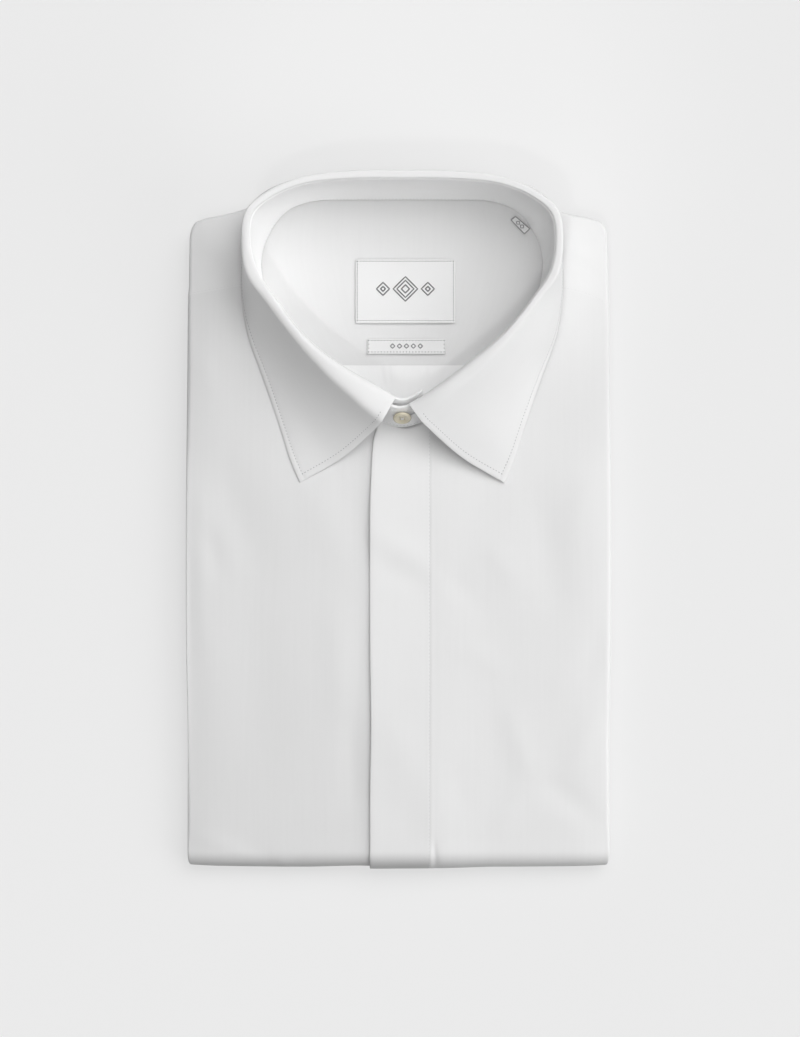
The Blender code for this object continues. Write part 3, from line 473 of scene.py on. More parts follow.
def bowl_ratio(x, y):
    """How far a place lies from the bowl's centre, as a share of the neck loop."""
    px, py = x - BOWL_CENTRE[0], y - BOWL_CENTRE[1]
    if hypot(px, py) < 0.01:
        return 0.0, CENTRE_BACK
    for k in range(LOOP_LENGTH * 4):
        a, b = NECK_LOOP[k], NECK_LOOP[k + 1]
        ax, ay = a.x - BOWL_CENTRE[0], a.y - BOWL_CENTRE[1]
        sx, sy = b.x - a.x, b.y - a.y
        base = px * sy - py * sx
        if abs(base) < 1e-9:
            continue
        share = (py * ax - px * ay) / base
        reach = (ax * sy - ay * sx) / base
        if -1e-6 <= share <= 1.0 + 1e-6 and reach > 0.0:
            return 1.0 / reach, k * 0.25 + 0.25 * share
    return 1.0, CENTRE_BACK


def bowl_height(x, y):
    """Height of the cloth inside the neck: it lies flat and rises to the seam."""
    ratio, t = bowl_ratio(x, y)
    rim = collar_point(t, "neck", True)
    rising = smooth_step((rim.y - BOWL_RISING[0]) / BOWL_RISING[1])
    rim_height = lerp(BOWL_FLOOR + BOWL_FRONT_RISE, rim.z - BOWL_RIM_DIP, rising)
    return BOWL_FLOOR + (rim_height - BOWL_FLOOR) * min(ratio, 1.0) ** 5


# ---------------------------------------------------------------- mesh makers

def fresh_object(name, mesh, finish):
    item = bpy.data.objects.new(name, mesh)
    bpy.context.scene.collection.objects.link(item)
    item.data.materials.append(finish)
    return item


def made_of(name, shape, finish):
    """An object with the faces of shape, which is used up."""
    mesh = bpy.data.meshes.new(name)
    shape.to_mesh(mesh)
    shape.free()
    return fresh_object(name, mesh, finish)


def settle(item):
    """Turn an object's modifiers into its own plain mesh."""
    bpy.context.view_layer.update()
    seen = item.evaluated_get(bpy.context.evaluated_depsgraph_get())
    mesh = bpy.data.meshes.new_from_object(seen)
    item.modifiers.clear()
    item.data = mesh
    return item


def cloth(name, rows, finish, wall, flip=False, sewn=()):
    """A sheet through rows of points on its outer face, thickened inwards.

    The sides named in sewn meet another piece and stay square; the rest are rounded.
    """
    shape = bmesh.new()
    weave = shape.loops.layers.uv.new("weave")
    crease = shape.edges.layers.float.new("crease_edge")
    across = line_lengths(rows[len(rows) // 2])
    along = line_lengths([row[len(row) // 2] for row in rows])
    grid = [[shape.verts.new(point * MM) for point in row] for row in rows]
    for j in range(len(rows) - 1):
        for i in range(len(rows[0]) - 1):
            corners = [(i, j), (i + 1, j), (i + 1, j + 1), (i, j + 1)]
            if flip:
                corners.reverse()
            face = shape.faces.new([grid[b][a] for a, b in corners])
            face.smooth = True
            for loop, (a, b) in zip(face.loops, corners):
                loop[weave].uv = (across[a] * MM, along[b] * MM)
    sides = {
        "first": grid[0], "last": grid[-1],
        "start": [row[0] for row in grid], "end": [row[-1] for row in grid],
    }
    for side in sewn:
        for a, b in zip(sides[side], sides[side][1:]):
            shape.edges.get((a, b))[crease] = 1.0
    item = made_of(name, shape, finish)
    solid = item.modifiers.new("wall", "SOLIDIFY")
    solid.thickness = wall * MM
    solid.offset = -1.0
    smooth = item.modifiers.new("soften", "SUBSURF")
    smooth.levels = 1
    smooth.render_levels = 1
    smooth.boundary_smooth = "ALL"
    settle(item)
    if sewn:
        item.data.set_sharp_from_angle(angle=SQUARE_EDGE)
    return item


def coons_rows(bottom, top, left, right):
    """Rows of a patch between four edges in plan."""
    rows = []
    last_i, last_j = len(bottom) - 1, len(left) - 1
    for j in range(last_j + 1):
        v = j / last_j
        row = []
        for i in range(last_i + 1):
            u = i / last_i
            ruled_up = bottom[i].lerp(top[i], v)
            ruled_across = left[j].lerp(right[j], u)
            corners = bottom[0].lerp(bottom[-1], u).lerp(top[0].lerp(top[-1], u), v)
            row.append(ruled_up + ruled_across - corners)
        rows.append(row)
    return rows


# ---------------------------------------------------------------- finishes

def node_group(name, kind, inputs, outputs):
    """A group with named inputs (title, socket, value) and outputs (title, socket)."""
    group = bpy.data.node_groups.new(name, kind)
    for title, socket_kind, value in inputs:
        socket = group.interface.new_socket(title, in_out="INPUT", socket_type=socket_kind)
        if value is not None:
            socket.default_value = value
    for title, socket_kind in outputs:
        group.interface.new_socket(title, in_out="OUTPUT", socket_type=socket_kind)
    source = group.nodes.new("NodeGroupInput")
    sink = group.nodes.new("NodeGroupOutput")
    return group, source.outputs, sink.inputs


def add_node(tree, kind, feeds, **settings):
    """The outputs of a new node; feeds gives each input a value or the socket it is wired to."""
    made = tree.nodes.new(kind)
    for title, value in settings.items():
        setattr(made, title, value)
    for title, value in feeds.items():
        if isinstance(value, bpy.types.NodeSocket):
            tree.links.new(value, made.inputs[title])
        else:
            made.inputs[title].default_value = value
    return made.outputs


def add_math(tree, operation, *terms):
    return add_node(tree, "ShaderNodeMath", dict(enumerate(terms)), operation=operation)[0]


def add_scaled(tree, vector, scale):
    return add_node(tree, "ShaderNodeVectorMath", {0: vector, "Scale": scale}, operation="SCALE")[0]


def make_weave():
    """Plain weave: threads over and under each other, with thicker ones here and there."""
    group, source, sink = node_group(
        "plain_weave", "ShaderNodeTree",
        (("Threads per mm", "NodeSocketFloat", 3.2), ("Depth", "NodeSocketFloat", 1.0),
         ("Slub", "NodeSocketFloat", 0.02), ("Colour", "NodeSocketColor", (0.8, 0.8, 0.8, 1.0))),
        (("Colour", "NodeSocketColor"), ("Height", "NodeSocketFloat")))
    place = add_node(group, "ShaderNodeUVMap", {}, uv_map="weave")["UV"]
    millimetres = add_scaled(group, place, 1000.0)
    pace = add_math(group, "MULTIPLY", source["Threads per mm"], 2.0 * pi / 20.0)
    waves = []
    for direction in ("X", "Y"):
        wave = add_node(
            group, "ShaderNodeTexWave",
            {"Vector": millimetres, "Scale": pace, "Distortion": 0.6, "Detail": 1.0, "Detail Scale": 0.4},
            wave_type="BANDS", bands_direction=direction, wave_profile="SIN")
        waves.append(wave["Fac"])
    crossing = add_math(group, "ADD", *waves)
    group.links.new(add_math(group, "MULTIPLY", crossing, source["Depth"]), sink["Height"])
    stretched = add_node(group, "ShaderNodeMapping", {"Vector": millimetres, "Scale": (0.55, 0.02, 1.0)})[0]
    slub = add_node(group, "ShaderNodeTexNoise", {"Vector": stretched, "Scale": 1.0, "Detail": 3.0})["Fac"]
    centred = add_math(group, "SUBTRACT", slub, 0.5)
    amount = add_math(group, "MULTIPLY_ADD", centred, source["Slub"], 1.0)
    group.links.new(add_scaled(group, source["Colour"], amount), sink["Colour"])
    return group


def plain_finish(name, colour, roughness, sheen=0.0, coat=0.0):
    finish = bpy.data.materials.new(name)
    finish.use_nodes = True
    shader = finish.node_tree.nodes["Principled BSDF"]
    shader.inputs["Base Color"].default_value = colour
    shader.inputs["Roughness"].default_value = roughness
    shader.inputs["Sheen Weight"].default_value = sheen
    shader.inputs["Sheen Roughness"].default_value = 0.4
    shader.inputs["Coat Weight"].default_value = coat
    return finish, shader


PAINTED_SHADE_BANDS = (                 # painted shade: the cloth's colour is darkened, from one y to another
    ("Lower", -40.0, -140.0),    # towards the bottom
    ("Turn", -162.5, -172.0),    # where it turns under
    ("Upper", 15.0, 75.0),       # towards the shoulders
)


def make_painted_shade():
    """Painted shade: the cloth's colour is darkened near both ends, and more so where it turns under."""
    inputs = [("Colour", "NodeSocketColor", (0.8, 0.8, 0.8, 1.0))]
    inputs += [(title, "NodeSocketFloat", 0.0) for title, start, end in PAINTED_SHADE_BANDS]
    group, source, sink = node_group("painted_shade", "ShaderNodeTree", inputs, (("Colour", "NodeSocketColor"),))
    place = add_node(group, "ShaderNodeTexCoord", {})["Object"]
    along = add_node(group, "ShaderNodeSeparateXYZ", {"Vector": place})["Y"]
    left = 1.0
    for title, start, end in PAINTED_SHADE_BANDS:
        share = add_node(
            group, "ShaderNodeMapRange", {"Value": along, "From Min": start * MM, "From Max": end * MM},
            interpolation_type="SMOOTHSTEP")["Result"]
        left = add_math(group, "SUBTRACT", left, add_math(group, "MULTIPLY", share, source[title]))
    group.links.new(add_scaled(group, source["Colour"], left), sink["Colour"])
    return group


def woven_finish(name, white, threads, depth, slub, roughness, sheen, folded=None):
    """Cloth with its own thread count and evenness; folded holds the depths of its three bands of painted
    shade.
    """
    colour = (white, white, white, 1.0)
    finish, shader = plain_finish(name, colour, roughness, sheen)
    tree = finish.node_tree
    shader.inputs["Specular IOR Level"].default_value = 0.25
    weave = add_node(
        tree, "ShaderNodeGroup",
        {"Threads per mm": threads, "Depth": depth, "Slub": slub, "Colour": colour}, node_tree=WEAVE)
    bump = add_node(
        tree, "ShaderNodeBump", {"Height": weave["Height"], "Strength": 0.35, "Distance": 0.00002})
    tree.links.new(bump["Normal"], shader.inputs["Normal"])
    shade = weave["Colour"]
    # painted shade laid over the weave's colour, by height along Y
    if folded:
        tones = {tone[0]: amount for tone, amount in zip(PAINTED_SHADE_BANDS, folded)}
        shade = add_node(tree, "ShaderNodeGroup", {"Colour": shade, **tones}, node_tree=PAINTED_SHADE)["Colour"]
    tree.links.new(shade, shader.inputs["Base Color"])
    return finish


def poplin(name, white, slub=0.035, folded=None):
    """The shirting, at the white given for this piece, set lighter or darker as painted light and shade."""
    return woven_finish(name, white, 3.2, 1.0, slub, 0.75, 0.15, folded)


def fused_poplin(name, white):
    """Poplin with interlining behind it, which is smoother; its white, too, is set per piece as painted
    light and shade.
    """
    return woven_finish(name, white, 3.2, 0.8, 0.015, 0.68, 0.12)


WEAVE = make_weave()
PAINTED_SHADE = make_painted_shade()
# all these pieces are one white shirting; each white is set lighter or darker to stand in for the light and
# shade falling on that piece: painted light and shade
POPLIN = poplin("white_poplin", 0.725)
# the numbers after folded= are the depths of painted shade towards the bottom, where the cloth turns under,
# and towards the shoulders
UNDER_FRONT = poplin("under_front_poplin", 0.742, folded=(0.045, 0.35, 0.06))
OVER_FRONT = poplin("over_front_poplin", 0.768, folded=(0.0, 0.30, 0.07))
PLACKET_CLOTH = poplin("doubled_poplin", 0.80, slub=0.02, folded=(0.05, 0.40, 0.0))
INNER_POPLIN = poplin("inner_poplin", 0.69)
BACK_CLOTH = poplin("back_poplin", 0.84)
# painted shade on the leaf and painted light on the band: one fused cloth, set darker on the leaf and
# lighter on the band
COLLAR_CLOTH = fused_poplin("fused_poplin", 0.752)
BAND_CLOTH = fused_poplin("band_poplin", 0.87)
LABEL_CLOTH = woven_finish("woven_label", 0.735, 4.5, 0.6, 0.01, 0.5, 0.2)


# ---------------------------------------------------------------- folds of the front

RIGHT_CREASES = (         # from x, from w, to x, to w, half width, rise
    (-104.0, 60.0, -106.0, -170.0, 34.0, -1.5),
    (-92.0, 36.0, -62.0, -40.0, 12.0, -0.75),
    (-96.0, -2.0, -84.0, -34.0, 4.5, -0.40),
    (-99.0, 20.0, -95.0, -80.0, 4.0, 0.30),
    (-72.0, -30.0, -66.0, -128.0, 13.0, -0.60),
    (-44.0, 20.0, -24.0, -30.0, 9.0, 0.45),
    (-32.0, -30.0, -27.0, -112.0, 8.0, 0.50),
    (-24.0, -88.0, -22.0, -150.0, 5.0, -0.40),
    (-101.0, -156.0, -78.0, -161.5, 2.6, 0.45),
    (-78.0, -160.0, -60.0, -164.5, 2.4, -0.35),
    (-60.0, -164.0, -54.0, -171.0, 2.2, 0.40),
    (-97.0, 84.0, -90.0, 58.0, 5.0, 0.30),
    (-88.0, 100.0, -76.0, 84.0, 5.0, -0.35),
)
LEFT_CREASES = (
    (42.0, -8.0, 58.0, -34.0, 7.0, 0.50),
    (20.0, -22.0, 44.0, -48.0, 5.0, -0.35),
    (30.0, -62.0, 54.0, -76.0, 6.0, 0.40),
    (52.0, -88.0, 66.0, -130.0, 6.0, 0.45),
    (66.0, 22.0, 80.0, -52.0, 9.0, -0.60),
    (92.0, 28.0, 86.0, -16.0, 8.0, 0.35),
    (99.0, -52.0, 90.0, -84.0, 5.0, -0.45),
    (99.0, -96.0, 84.0, -122.0, 5.0, 0.40),
    (68.0, -124.0, 101.0, -152.0, 6.0, -0.55),
    (26.0, -116.0, 34.0, -150.0, 5.0, -0.30),
    (58.0, -140.0, 46.0, -158.0, 4.0, 0.30),
    (90.0, 96.0, 78.0, 50.0, 8.0, 0.40),
    (17.5, -158.0, 18.5, -172.0, 1.6, -0.45),
)


def front_rows():
    """Shares from the top edge to the straight rows, then w all along the U."""
    shares = [k / 34 for k in range(35)]
    straight = spread(STRAIGHT_Y, ROLL_Y, 3.4)[1:-1]
    roll = [ROLL_Y - ROLL_LENGTH * k / 16 for k in range(0, 17)]
    lower = spread(UNDER_START, UNDER_END, 7.0)[1:-1]
    end = [UNDER_END - end_radius() * pi * k / 8 for k in range(0, 9)]
    return shares, straight + roll + lower + end


def tighter(w):
    """The side folds are pressed sharper where they cross the roll."""
    return 1.0 - 0.5 * exp(-((w - ROLL_Y + 0.4 * ROLL_LENGTH) / (0.75 * ROLL_LENGTH)) ** 4)


def fold_columns(w):
    """x from the side's inner line and depth round one side fold into the groove."""
    radius = fold_radius(w) * tighter(w)
    ending = smooth_step((UNDER_END + END_BLEND - w) / END_BLEND)
    reach = lerp(pi, END_FOLD_REACH, ending)
    centre = side_width(w) - END_CORNER * ending - radius
    places = []
    for k in range(0, 10):
        angle = reach * k / 9
        places.append((centre + radius * sin(angle), radius * (1.0 - cos(angle))))
    x, depth = places[-1]
    for k in (0.5, 1.0):
        onward = lerp(FOLD_RETURN, 0.4, ending) * k
        places.append((x + onward * cos(reach), depth + onward * sin(reach)))
    return places, centre


def front_start(x):
    return min(front_neck_y(x), seam_y(x) - SEWN)


PLACKET_SWAY = (          # w, how far the folded edge lies to the right of its straight line
    (48.0, 3.9), (43.9, 3.2), (38.5, 1.7), (18.9, 0.4), (0.0, -0.1), (-60.0, -0.1), (-100.0, 0.4),
    (-140.0, -0.1), (-400.0, 0.0),
)


def front_piece(name, xs, side, layer, creases, wall, finish):
    """A front over the top face, round the roll, along the underside and round its side."""
    shares, along = front_rows()
    rows = []

    def raised(x, w):
        return layer(x, w) - creases_at(creases, x, w)

    def swayed(x, w):
        if side:
            return x
        return x + table_value(PLACKET_SWAY, w) * (PLACKET_RIGHT - x) / (PLACKET_RIGHT - PLACKET_LEFT)

    for share in shares:
        row = []
        for x in xs:
            w = lerp(front_start(x), STRAIGHT_Y, share)
            dip = seam_dip(front_start(x) - w)
            row.append(body_point(swayed(x, w), w, raised(x, w) + dip))
        if side:
            row += side_points(share, side, creases)
        rows.append(row)
    for w in along:
        row = [body_point(swayed(x, w), w, raised(x, w)) for x in xs]
        if side:
            row += fold_points(w, side, creases, 0.0)
        rows.append(row)
    sewn = {-1.0: ("first",), 0.0: ("first", "end"), 1.0: ("first", "start")}[side]
    return cloth(name, rows, finish, wall, flip=side >= 0, sewn=sewn)


def side_points(share, side, creases):
    """The side fold from the yoke's seam down to the straight rows."""
    start = seam_y(side * 97.0) - SEWN
    w = lerp(start, STRAIGHT_Y, share)
    lean = (seam_y(side * SEAM_SPAN[1]) - seam_y(side * 97.0)) * (1.0 - share)
    return fold_points(w, side, creases, lean, seam_dip(start - w))


def fold_points(w, side, creases, lean, dip=0.0):
    """One row round a side fold; lean is how much further down its outermost line lies."""
    places, centre = fold_columns(w)
    widest = max(x for x, depth in places)
    points = []
    turned = False
    for x, depth in places:
        turned = turned or x == widest
        here = w + lean * (1.0 if turned else (x - centre) / (widest - centre))
        lift = creases_at(creases, side * x, here) * clamp(1.0 - depth / 2.0)
        point = body_point(side * centre, here, depth - lift + dip)
        points.append(point + Vector((side * (x - centre), 0.0, 0.0)))
    return points


def right_layer(x, w):
    """Flat, rising softly to the placket's folded edge that lies on it."""
    reach = max(PLACKET_LEFT - x, 0.0)
    rise = lerp(*UNDER_EDGE_RISE, smooth_step(w / 40.0)) * exp(-(reach / 3.8) ** 2)
    return STEP * pressed(x) * under(w) - rise * (1.0 - under(w))


SEAM_RELIEF = (           # x, half width and height of the groove, the ridge on each side and a faint dip
    (PLACKET_RIGHT, 0.45, -0.08), (14.1, 0.7, 0.05), (16.5, 0.7, 0.04), (17.8, 0.8, -0.03),
)


def seam_relief(x):
    """The pressed relief along the placket's sewn side."""
    return sum(height * exp(-((x - middle) / half) ** 2) for middle, half, height in SEAM_RELIEF)


def left_layer(x, w):
    return -(STEP * pressed(x) + seam_relief(x)) * (1.0 - under(w))


def placket_layer(x, w):
    """Raised over the other front, and more so along its folded edge near the collar."""
    fold = 0.25 * exp(-((x - PLACKET_LEFT) / 0.8) ** 2)
    share = (PLACKET_RIGHT - x) / (PLACKET_RIGHT - PLACKET_LEFT)
    lift = table_value(PLACKET_LIFT, w) * share
    return (fold - STEP - seam_relief(x) - lift) * (1.0 - under(w))


PLACKET_LIFT = (          # w, how much higher the folded edge lies
    (60.0, 0.4), (20.0, 0.6), (-8.0, 0.9), (-32.0, 0.1), (-60.0, 0.4), (-110.0, 0.6), (-150.0, 0.4),
    (-400.0, 0.0),
)
PLACKET_CREASES = (
    (-16.0, -4.0, 18.0, -26.0, 6.0, 0.40),
    (-12.0, -22.0, 16.0, -34.0, 6.0, -0.42),
    (-8.0, -96.0, 12.0, -136.0, 8.0, 0.35),
    (-14.0, -138.0, 14.0, -152.0, 7.0, -0.28),
)

right_xs = [BUTTON_STAND, 8.0, 4.0, 0.0, -4.0, -8.0, -11.0, -13.2, -14.6, -15.6, -17.0, -19.0]
right_xs += spread(-22.0, -97.0, 3.4)
left_xs = [PLACKET_RIGHT + SEWN, 15.6, 16.0, 16.5, 17.1, 17.8, 18.6, 19.6, 21.0] + spread(23.5, 97.0, 3.4)
placket_xs = [PLACKET_LEFT, -13.6, -12.6, -11.0] + spread(-8.0, 11.0, 3.2)
placket_xs += [12.4, 13.3, 14.1, 14.6, 15.0, PLACKET_RIGHT - SEWN]

shirt_right = front_piece(
    "right_front", right_xs, -1.0, right_layer, RIGHT_CREASES, CLOTH_WALL, UNDER_FRONT)
shirt_left = front_piece(
    "left_front", left_xs, 1.0, left_layer, LEFT_CREASES, CLOTH_WALL, OVER_FRONT)
placket = front_piece(
    "fly_placket", placket_xs, 0.0, placket_layer, PLACKET_CREASES, PLACKET_WALL, PLACKET_CLOTH)


# ---------------------------------------------------------------- the yoke

def shoulder_outline():
    """Outline of the yoke in plan, left side first."""
    points = [Vector(place) for place in SHOULDER_LINE]
    half = []
    for k in range(len(points) - 1):
        before = points[k - 1] if k else points[0] * 2 - points[1]
        after = points[k + 2] if k + 2 < len(points) else Vector((-points[k].x, points[k].y))
        steps = max(int((points[k + 1] - points[k]).length / 2.6), 1)
        half += [through(before, points[k], points[k + 1], after, s / steps) for s in range(steps)]
    half.append(points[-1])
    left = [Vector((-p.x, p.y)) for p in half]
    return left + list(reversed(half))[1:]


def neck_start(side):
    """Where along the collar the yoke's front seam meets the neck."""
    best = 5.0
    for k in range(40, 70):
        t = 0.1 * k
        place = neck_line(t if side < 0 else LOOP_LENGTH - t, PANEL_CLEAR)
        if place.y < seam_y(side * 70.0) + 0.15:
            best = t
    return best


YOKE_CREASES = (
    (-98.0, 136.0, -80.0, 128.0, 4.0, 0.35),
    (-92.0, 118.0, -84.0, 138.0, 5.0, -0.35),
    (80.0, 134.0, 100.0, 126.0, 4.0, 0.30),
    (84.0, 112.0, 100.0, 122.0, 4.0, -0.30),
)


def seam_bow(x, neck, edge):
    """How far the yoke's front seam bends away from a straight line between its ends."""
    share = clamp((x - neck.x) / (edge.x - neck.x))
    return seam_y(x) - lerp(seam_y(neck.x), seam_y(edge.x), share)


def yoke_section(neck, edge, out, ending):
    """From the neck over the shoulder and round its fold; ending is 1 on the front seams."""
    w = min(edge.y, 160.0)
    radius = 0.5 * (middle_height(w) - ARM_CLEAR - crown(edge.x, w))
    centre = edge - out * radius
    dip = SEAM_DIP if ending == 1.0 else 0.0
    row = []

    def bowed(place):
        if not ending:
            return place.copy()
        return Vector((place.x, place.y + seam_bow(place.x, neck, edge) * ending))

    for share in [k / 9 for k in range(9)]:
        place = bowed(neck.lerp(centre, share))
        row.append(body_point(place.x, place.y, dip - creases_at(YOKE_CREASES, place.x, place.y)))
    base = body_point(centre.x, centre.y, dip)
    for k in range(0, 9):
        angle = pi * k / 8
        place = bowed(centre + out * radius * sin(angle))
        if k > 4 and ending:
            place.y = row[-1].y
        row.append(Vector((place.x, place.y, base.z - radius * (1.0 - cos(angle)))))
    for onward in (0.5, 1.0):
        place = centre - out * FOLD_RETURN * onward
        if ending:
            place.y = row[-1].y
        row.append(Vector((place.x, place.y, base.z - 2.0 * radius)))
    return row


def yoke_piece():
    outline = shoulder_outline()
    outline[0] = Vector((-side_width(seam_y(-103.0)), seam_y(-103.0) + SEWN))
    outline[-1] = Vector((side_width(seam_y(103.0)), seam_y(103.0) + SEWN))
    steps = [lerp(neck_start(-1.0), LOOP_LENGTH - neck_start(1.0), k / 240) for k in range(241)]
    neck_edge = [neck_line(t, YOKE_CLEAR) for t in steps]
    last = len(outline) - 1
    rows = []
    for k, edge in enumerate(outline):
        along = (outline[min(k + 1, last)] - outline[max(k - 1, 0)]).normalized()
        out = Vector((-along.y, along.x))
        near = min(neck_edge, key=lambda p: hypot(p.x - edge.x, p.y - edge.y))
        neck = Vector((near.x, near.y))
        if k in (0, last):
            out = Vector((-1.0 if k == 0 else 1.0, 0.0))
            neck.y = seam_y(neck.x) + SEWN
        ending = 1.0 - smooth_step(min(k, last - k) / 8.0)
        rows.append(yoke_section(neck, edge, out, ending))
    return cloth("shoulder_yoke", rows, POPLIN, CLOTH_WALL, flip=True, sewn=("first", "last"))


yoke = yoke_piece()


# ---------------------------------------------------------------- inside the neck

NECK_CREASES = (
    (-8.4, 75.0, -7.2, 64.0, 0.9, -0.22),
    (-4.9, 75.0, -4.2, 65.0, 0.9, -0.20),
    (13.3, 75.0, 12.8, 62.0, 0.9, -0.20),
    (-30.0, 132.0, -52.0, 98.0, 8.0, 0.25),
    (-36.0, 146.0, 10.0, 142.0, 6.0, 0.20),
    (30.0, 140.0, 52.0, 112.0, 9.0, -0.30),
    (34.0, 92.0, 46.0, 112.0, 6.0, 0.20),
)


def neck_floor(edges):
    rows = []
    for row in coons_rows(*edges):
        rows.append([Vector((p.x, p.y, neck_height(p.x, p.y))) for p in row])
    return rows


def neck_height(x, y):
    return bowl_height(x, y) + creases_at(NECK_CREASES, x, y) - 0.3 * seam_dip(y - YOKE_BACK_Y)


def inner_loop(t):
    """The edge of the cloth inside the neck, under the stand's edge."""
    at_front = t < FRONT_REACH or t > LOOP_LENGTH - FRONT_REACH
    here = neck_line(t, LINING_CLEAR - (FRONT_CLEAR if at_front else 0.0))
    return Vector((here.x, here.y))


def lining_piece():
    low, high = LINING_SPAN
    left = [inner_loop(lerp(low, high, k / 22)) for k in range(23)]
    right = [inner_loop(LOOP_LENGTH - lerp(low, high, k / 22)) for k in range(23)]
    left[0] = Vector((left[0].x, YOKE_BACK_Y + SEWN))
    right[0] = Vector((right[0].x, YOKE_BACK_Y + SEWN))
    bottom = [left[0].lerp(right[0], k / 40) for k in range(41)]
    top = [inner_loop(lerp(high, LOOP_LENGTH - high, k / 40)) for k in range(41)]
    rows = neck_floor((bottom, top, left, right))
    return cloth("yoke_lining_cloth", rows, INNER_POPLIN, LINING_WALL, sewn=("first",))


def back_piece():
    low, high = BACK_SPAN
    left = [inner_loop(lerp(low, high, k / 10)) for k in range(11)]
    right = [inner_loop(LOOP_LENGTH - lerp(low, high, k / 10)) for k in range(11)]
    left[-1] = Vector((left[-1].x, YOKE_BACK_Y - SEWN))
    right[-1] = Vector((right[-1].x, YOKE_BACK_Y - SEWN))
    top = [left[-1].lerp(right[-1], k / 80) for k in range(81)]
    bottom = []
    for k in range(81):
        place = collar_point(lerp(low, -low, k / 80) % LOOP_LENGTH, "neck", True)
        bottom.append(Vector((place.x, place.y + 1.0)))
    bottom[0], bottom[-1] = left[0], right[0]
    rows = neck_floor((bottom, top, left, right))
    return cloth("back_cloth", rows, BACK_CLOTH, LINING_WALL, sewn=("last",))


lining = lining_piece()
back = back_piece()


# ---------------------------------------------------------------- the collar's cloth

def fall_column(t, column):
    point = collar_point(t, column)
    ends = end_shift(t)
    move = FALL_SPREAD[column][0 if ends < 0.0 else 1] * abs(ends)
    shift = collar_outward(clamp(t, 0.05, LOOP_LENGTH - 0.05)) * move
    if column == "seam":
        rise = point - collar_point(t, "neck")
        front = 1.0 - smooth_step(min(t, LOOP_LENGTH - t) / 1.2)
        shift = shift + rise.normalized() * (SEAM_GAP + FRONT_SEAM_GAP * front)
        shift = shift + collar_outward(clamp(t, 0.05, LOOP_LENGTH - 0.05)) * SEAM_LEDGE
    return point + shift


ROLL_PARTS = 10
ROLL_INNER = 4            # of these, from the seam up to the crest
BREAK = (0.95, 0.15)      # how much steeper the leaf starts below the roll, right and left
LEAF_FROM_HEM = (0.0, 0.7, 1.5, 2.4, 3.2, 4.0, 5.2, 7.4)


def fall_section(t):
    """From the seam on the stand, round the roll and down to the hem."""
    seam, crest, brow, cheek, hem = [fall_column(t, column) for column in COLLAR_COLUMNS[1:]]
    roll = []
    for k in range(ROLL_INNER):
        angle = 0.5 * pi * k / ROLL_INNER
        level = (crest - seam) * (1.0 - cos(angle))
        roll.append(Vector((seam.x + level.x, seam.y + level.y, seam.z + (crest.z - seam.z) * sin(angle))))
    over = brow - crest
    steeper = lerp(*BREAK, smooth_step((t - 8.0) / 6.0))
    fall_off = ((cheek - brow).normalized() + Vector((0.0, 0.0, -steeper))).normalized()
    for k in range(ROLL_PARTS - ROLL_INNER + 1):
        share = k / (ROLL_PARTS - ROLL_INNER)
        level = Vector((over.x, over.y, 0.0)) * 1.1
        roll.append(bridge(crest, level, brow, fall_off * over.length * 1.1, share))
    long_way = (cheek - brow).length
    last_way = (hem - cheek).length
    bend = (cheek - brow) * (last_way / long_way) + (hem - cheek) * (long_way / last_way)
    bend = bend / (long_way + last_way)
    leaf = [bridge(brow, fall_off * long_way, cheek, bend * long_way, k / 12) for k in range(13)]
    leaf += [bridge(cheek, bend * last_way, hem, hem - cheek, k / 10) for k in range(1, 11)]
    lengths = line_lengths(leaf)
    full = lengths[-1]
    long_part = full - LEAF_FROM_HEM[-1]
    places = [long_part * k / 9 for k in range(1, 10)] + [full - d for d in reversed(LEAF_FROM_HEM[:-1])]
    return roll + [along_line(leaf, lengths, reach) for reach in places]


def fall_steps():
    """Sections close together at both front edges, and evenly spaced between them."""
    edge = [0.0, 0.06, 0.13, 0.2, 0.26, 0.33, 0.45, 0.62, 0.82]
    half = edge + [1.05 + 0.245 * k for k in range(0, 41)]
    return half + [LOOP_LENGTH - t for t in reversed(half) if LOOP_LENGTH - t > half[-1] + 0.1]


def edge_ridge(distance):
    """The turned edge is thicker, and its stitches sink into the cloth."""
    return 0.16 * exp(-((distance - 1.6) / 1.1) ** 2) - 0.13 * exp(-((distance - EDGE_STITCH) / 0.5) ** 2)


def grid_normal(rows, i, j):
    right = rows[j][min(i + 1, len(rows[j]) - 1)] - rows[j][max(i - 1, 0)]
    up = rows[min(j + 1, len(rows) - 1)][i] - rows[max(j - 1, 0)][i]
    return right.cross(up).normalized()


def leaf_shape():
    """The leaf's rows with its stitched edges, and which way each place faces."""
    rows = [fall_section(t) for t in fall_steps()]
    shaped, facing = [], []
    last = len(rows) - 1
    for j, row in enumerate(rows):
        from_hem = list(reversed(line_lengths(list(reversed(row)))))
        line, outwards = [], []
        for i, point in enumerate(row):
            from_front = min((point - rows[0][i]).length, (point - rows[last][i]).length)
            lift = edge_ridge(from_hem[i])
            if i > ROLL_PARTS // 2 and from_front < 8.0 and from_hem[i] > EDGE_STITCH + 0.2:
                lift = max(lift, edge_ridge(from_front))
            outward = -grid_normal(rows, i, j)
            line.append(point + outward * lift)
            outwards.append(outward)
        shaped.append(line)
        facing.append(outwards)
    return shaped, facing


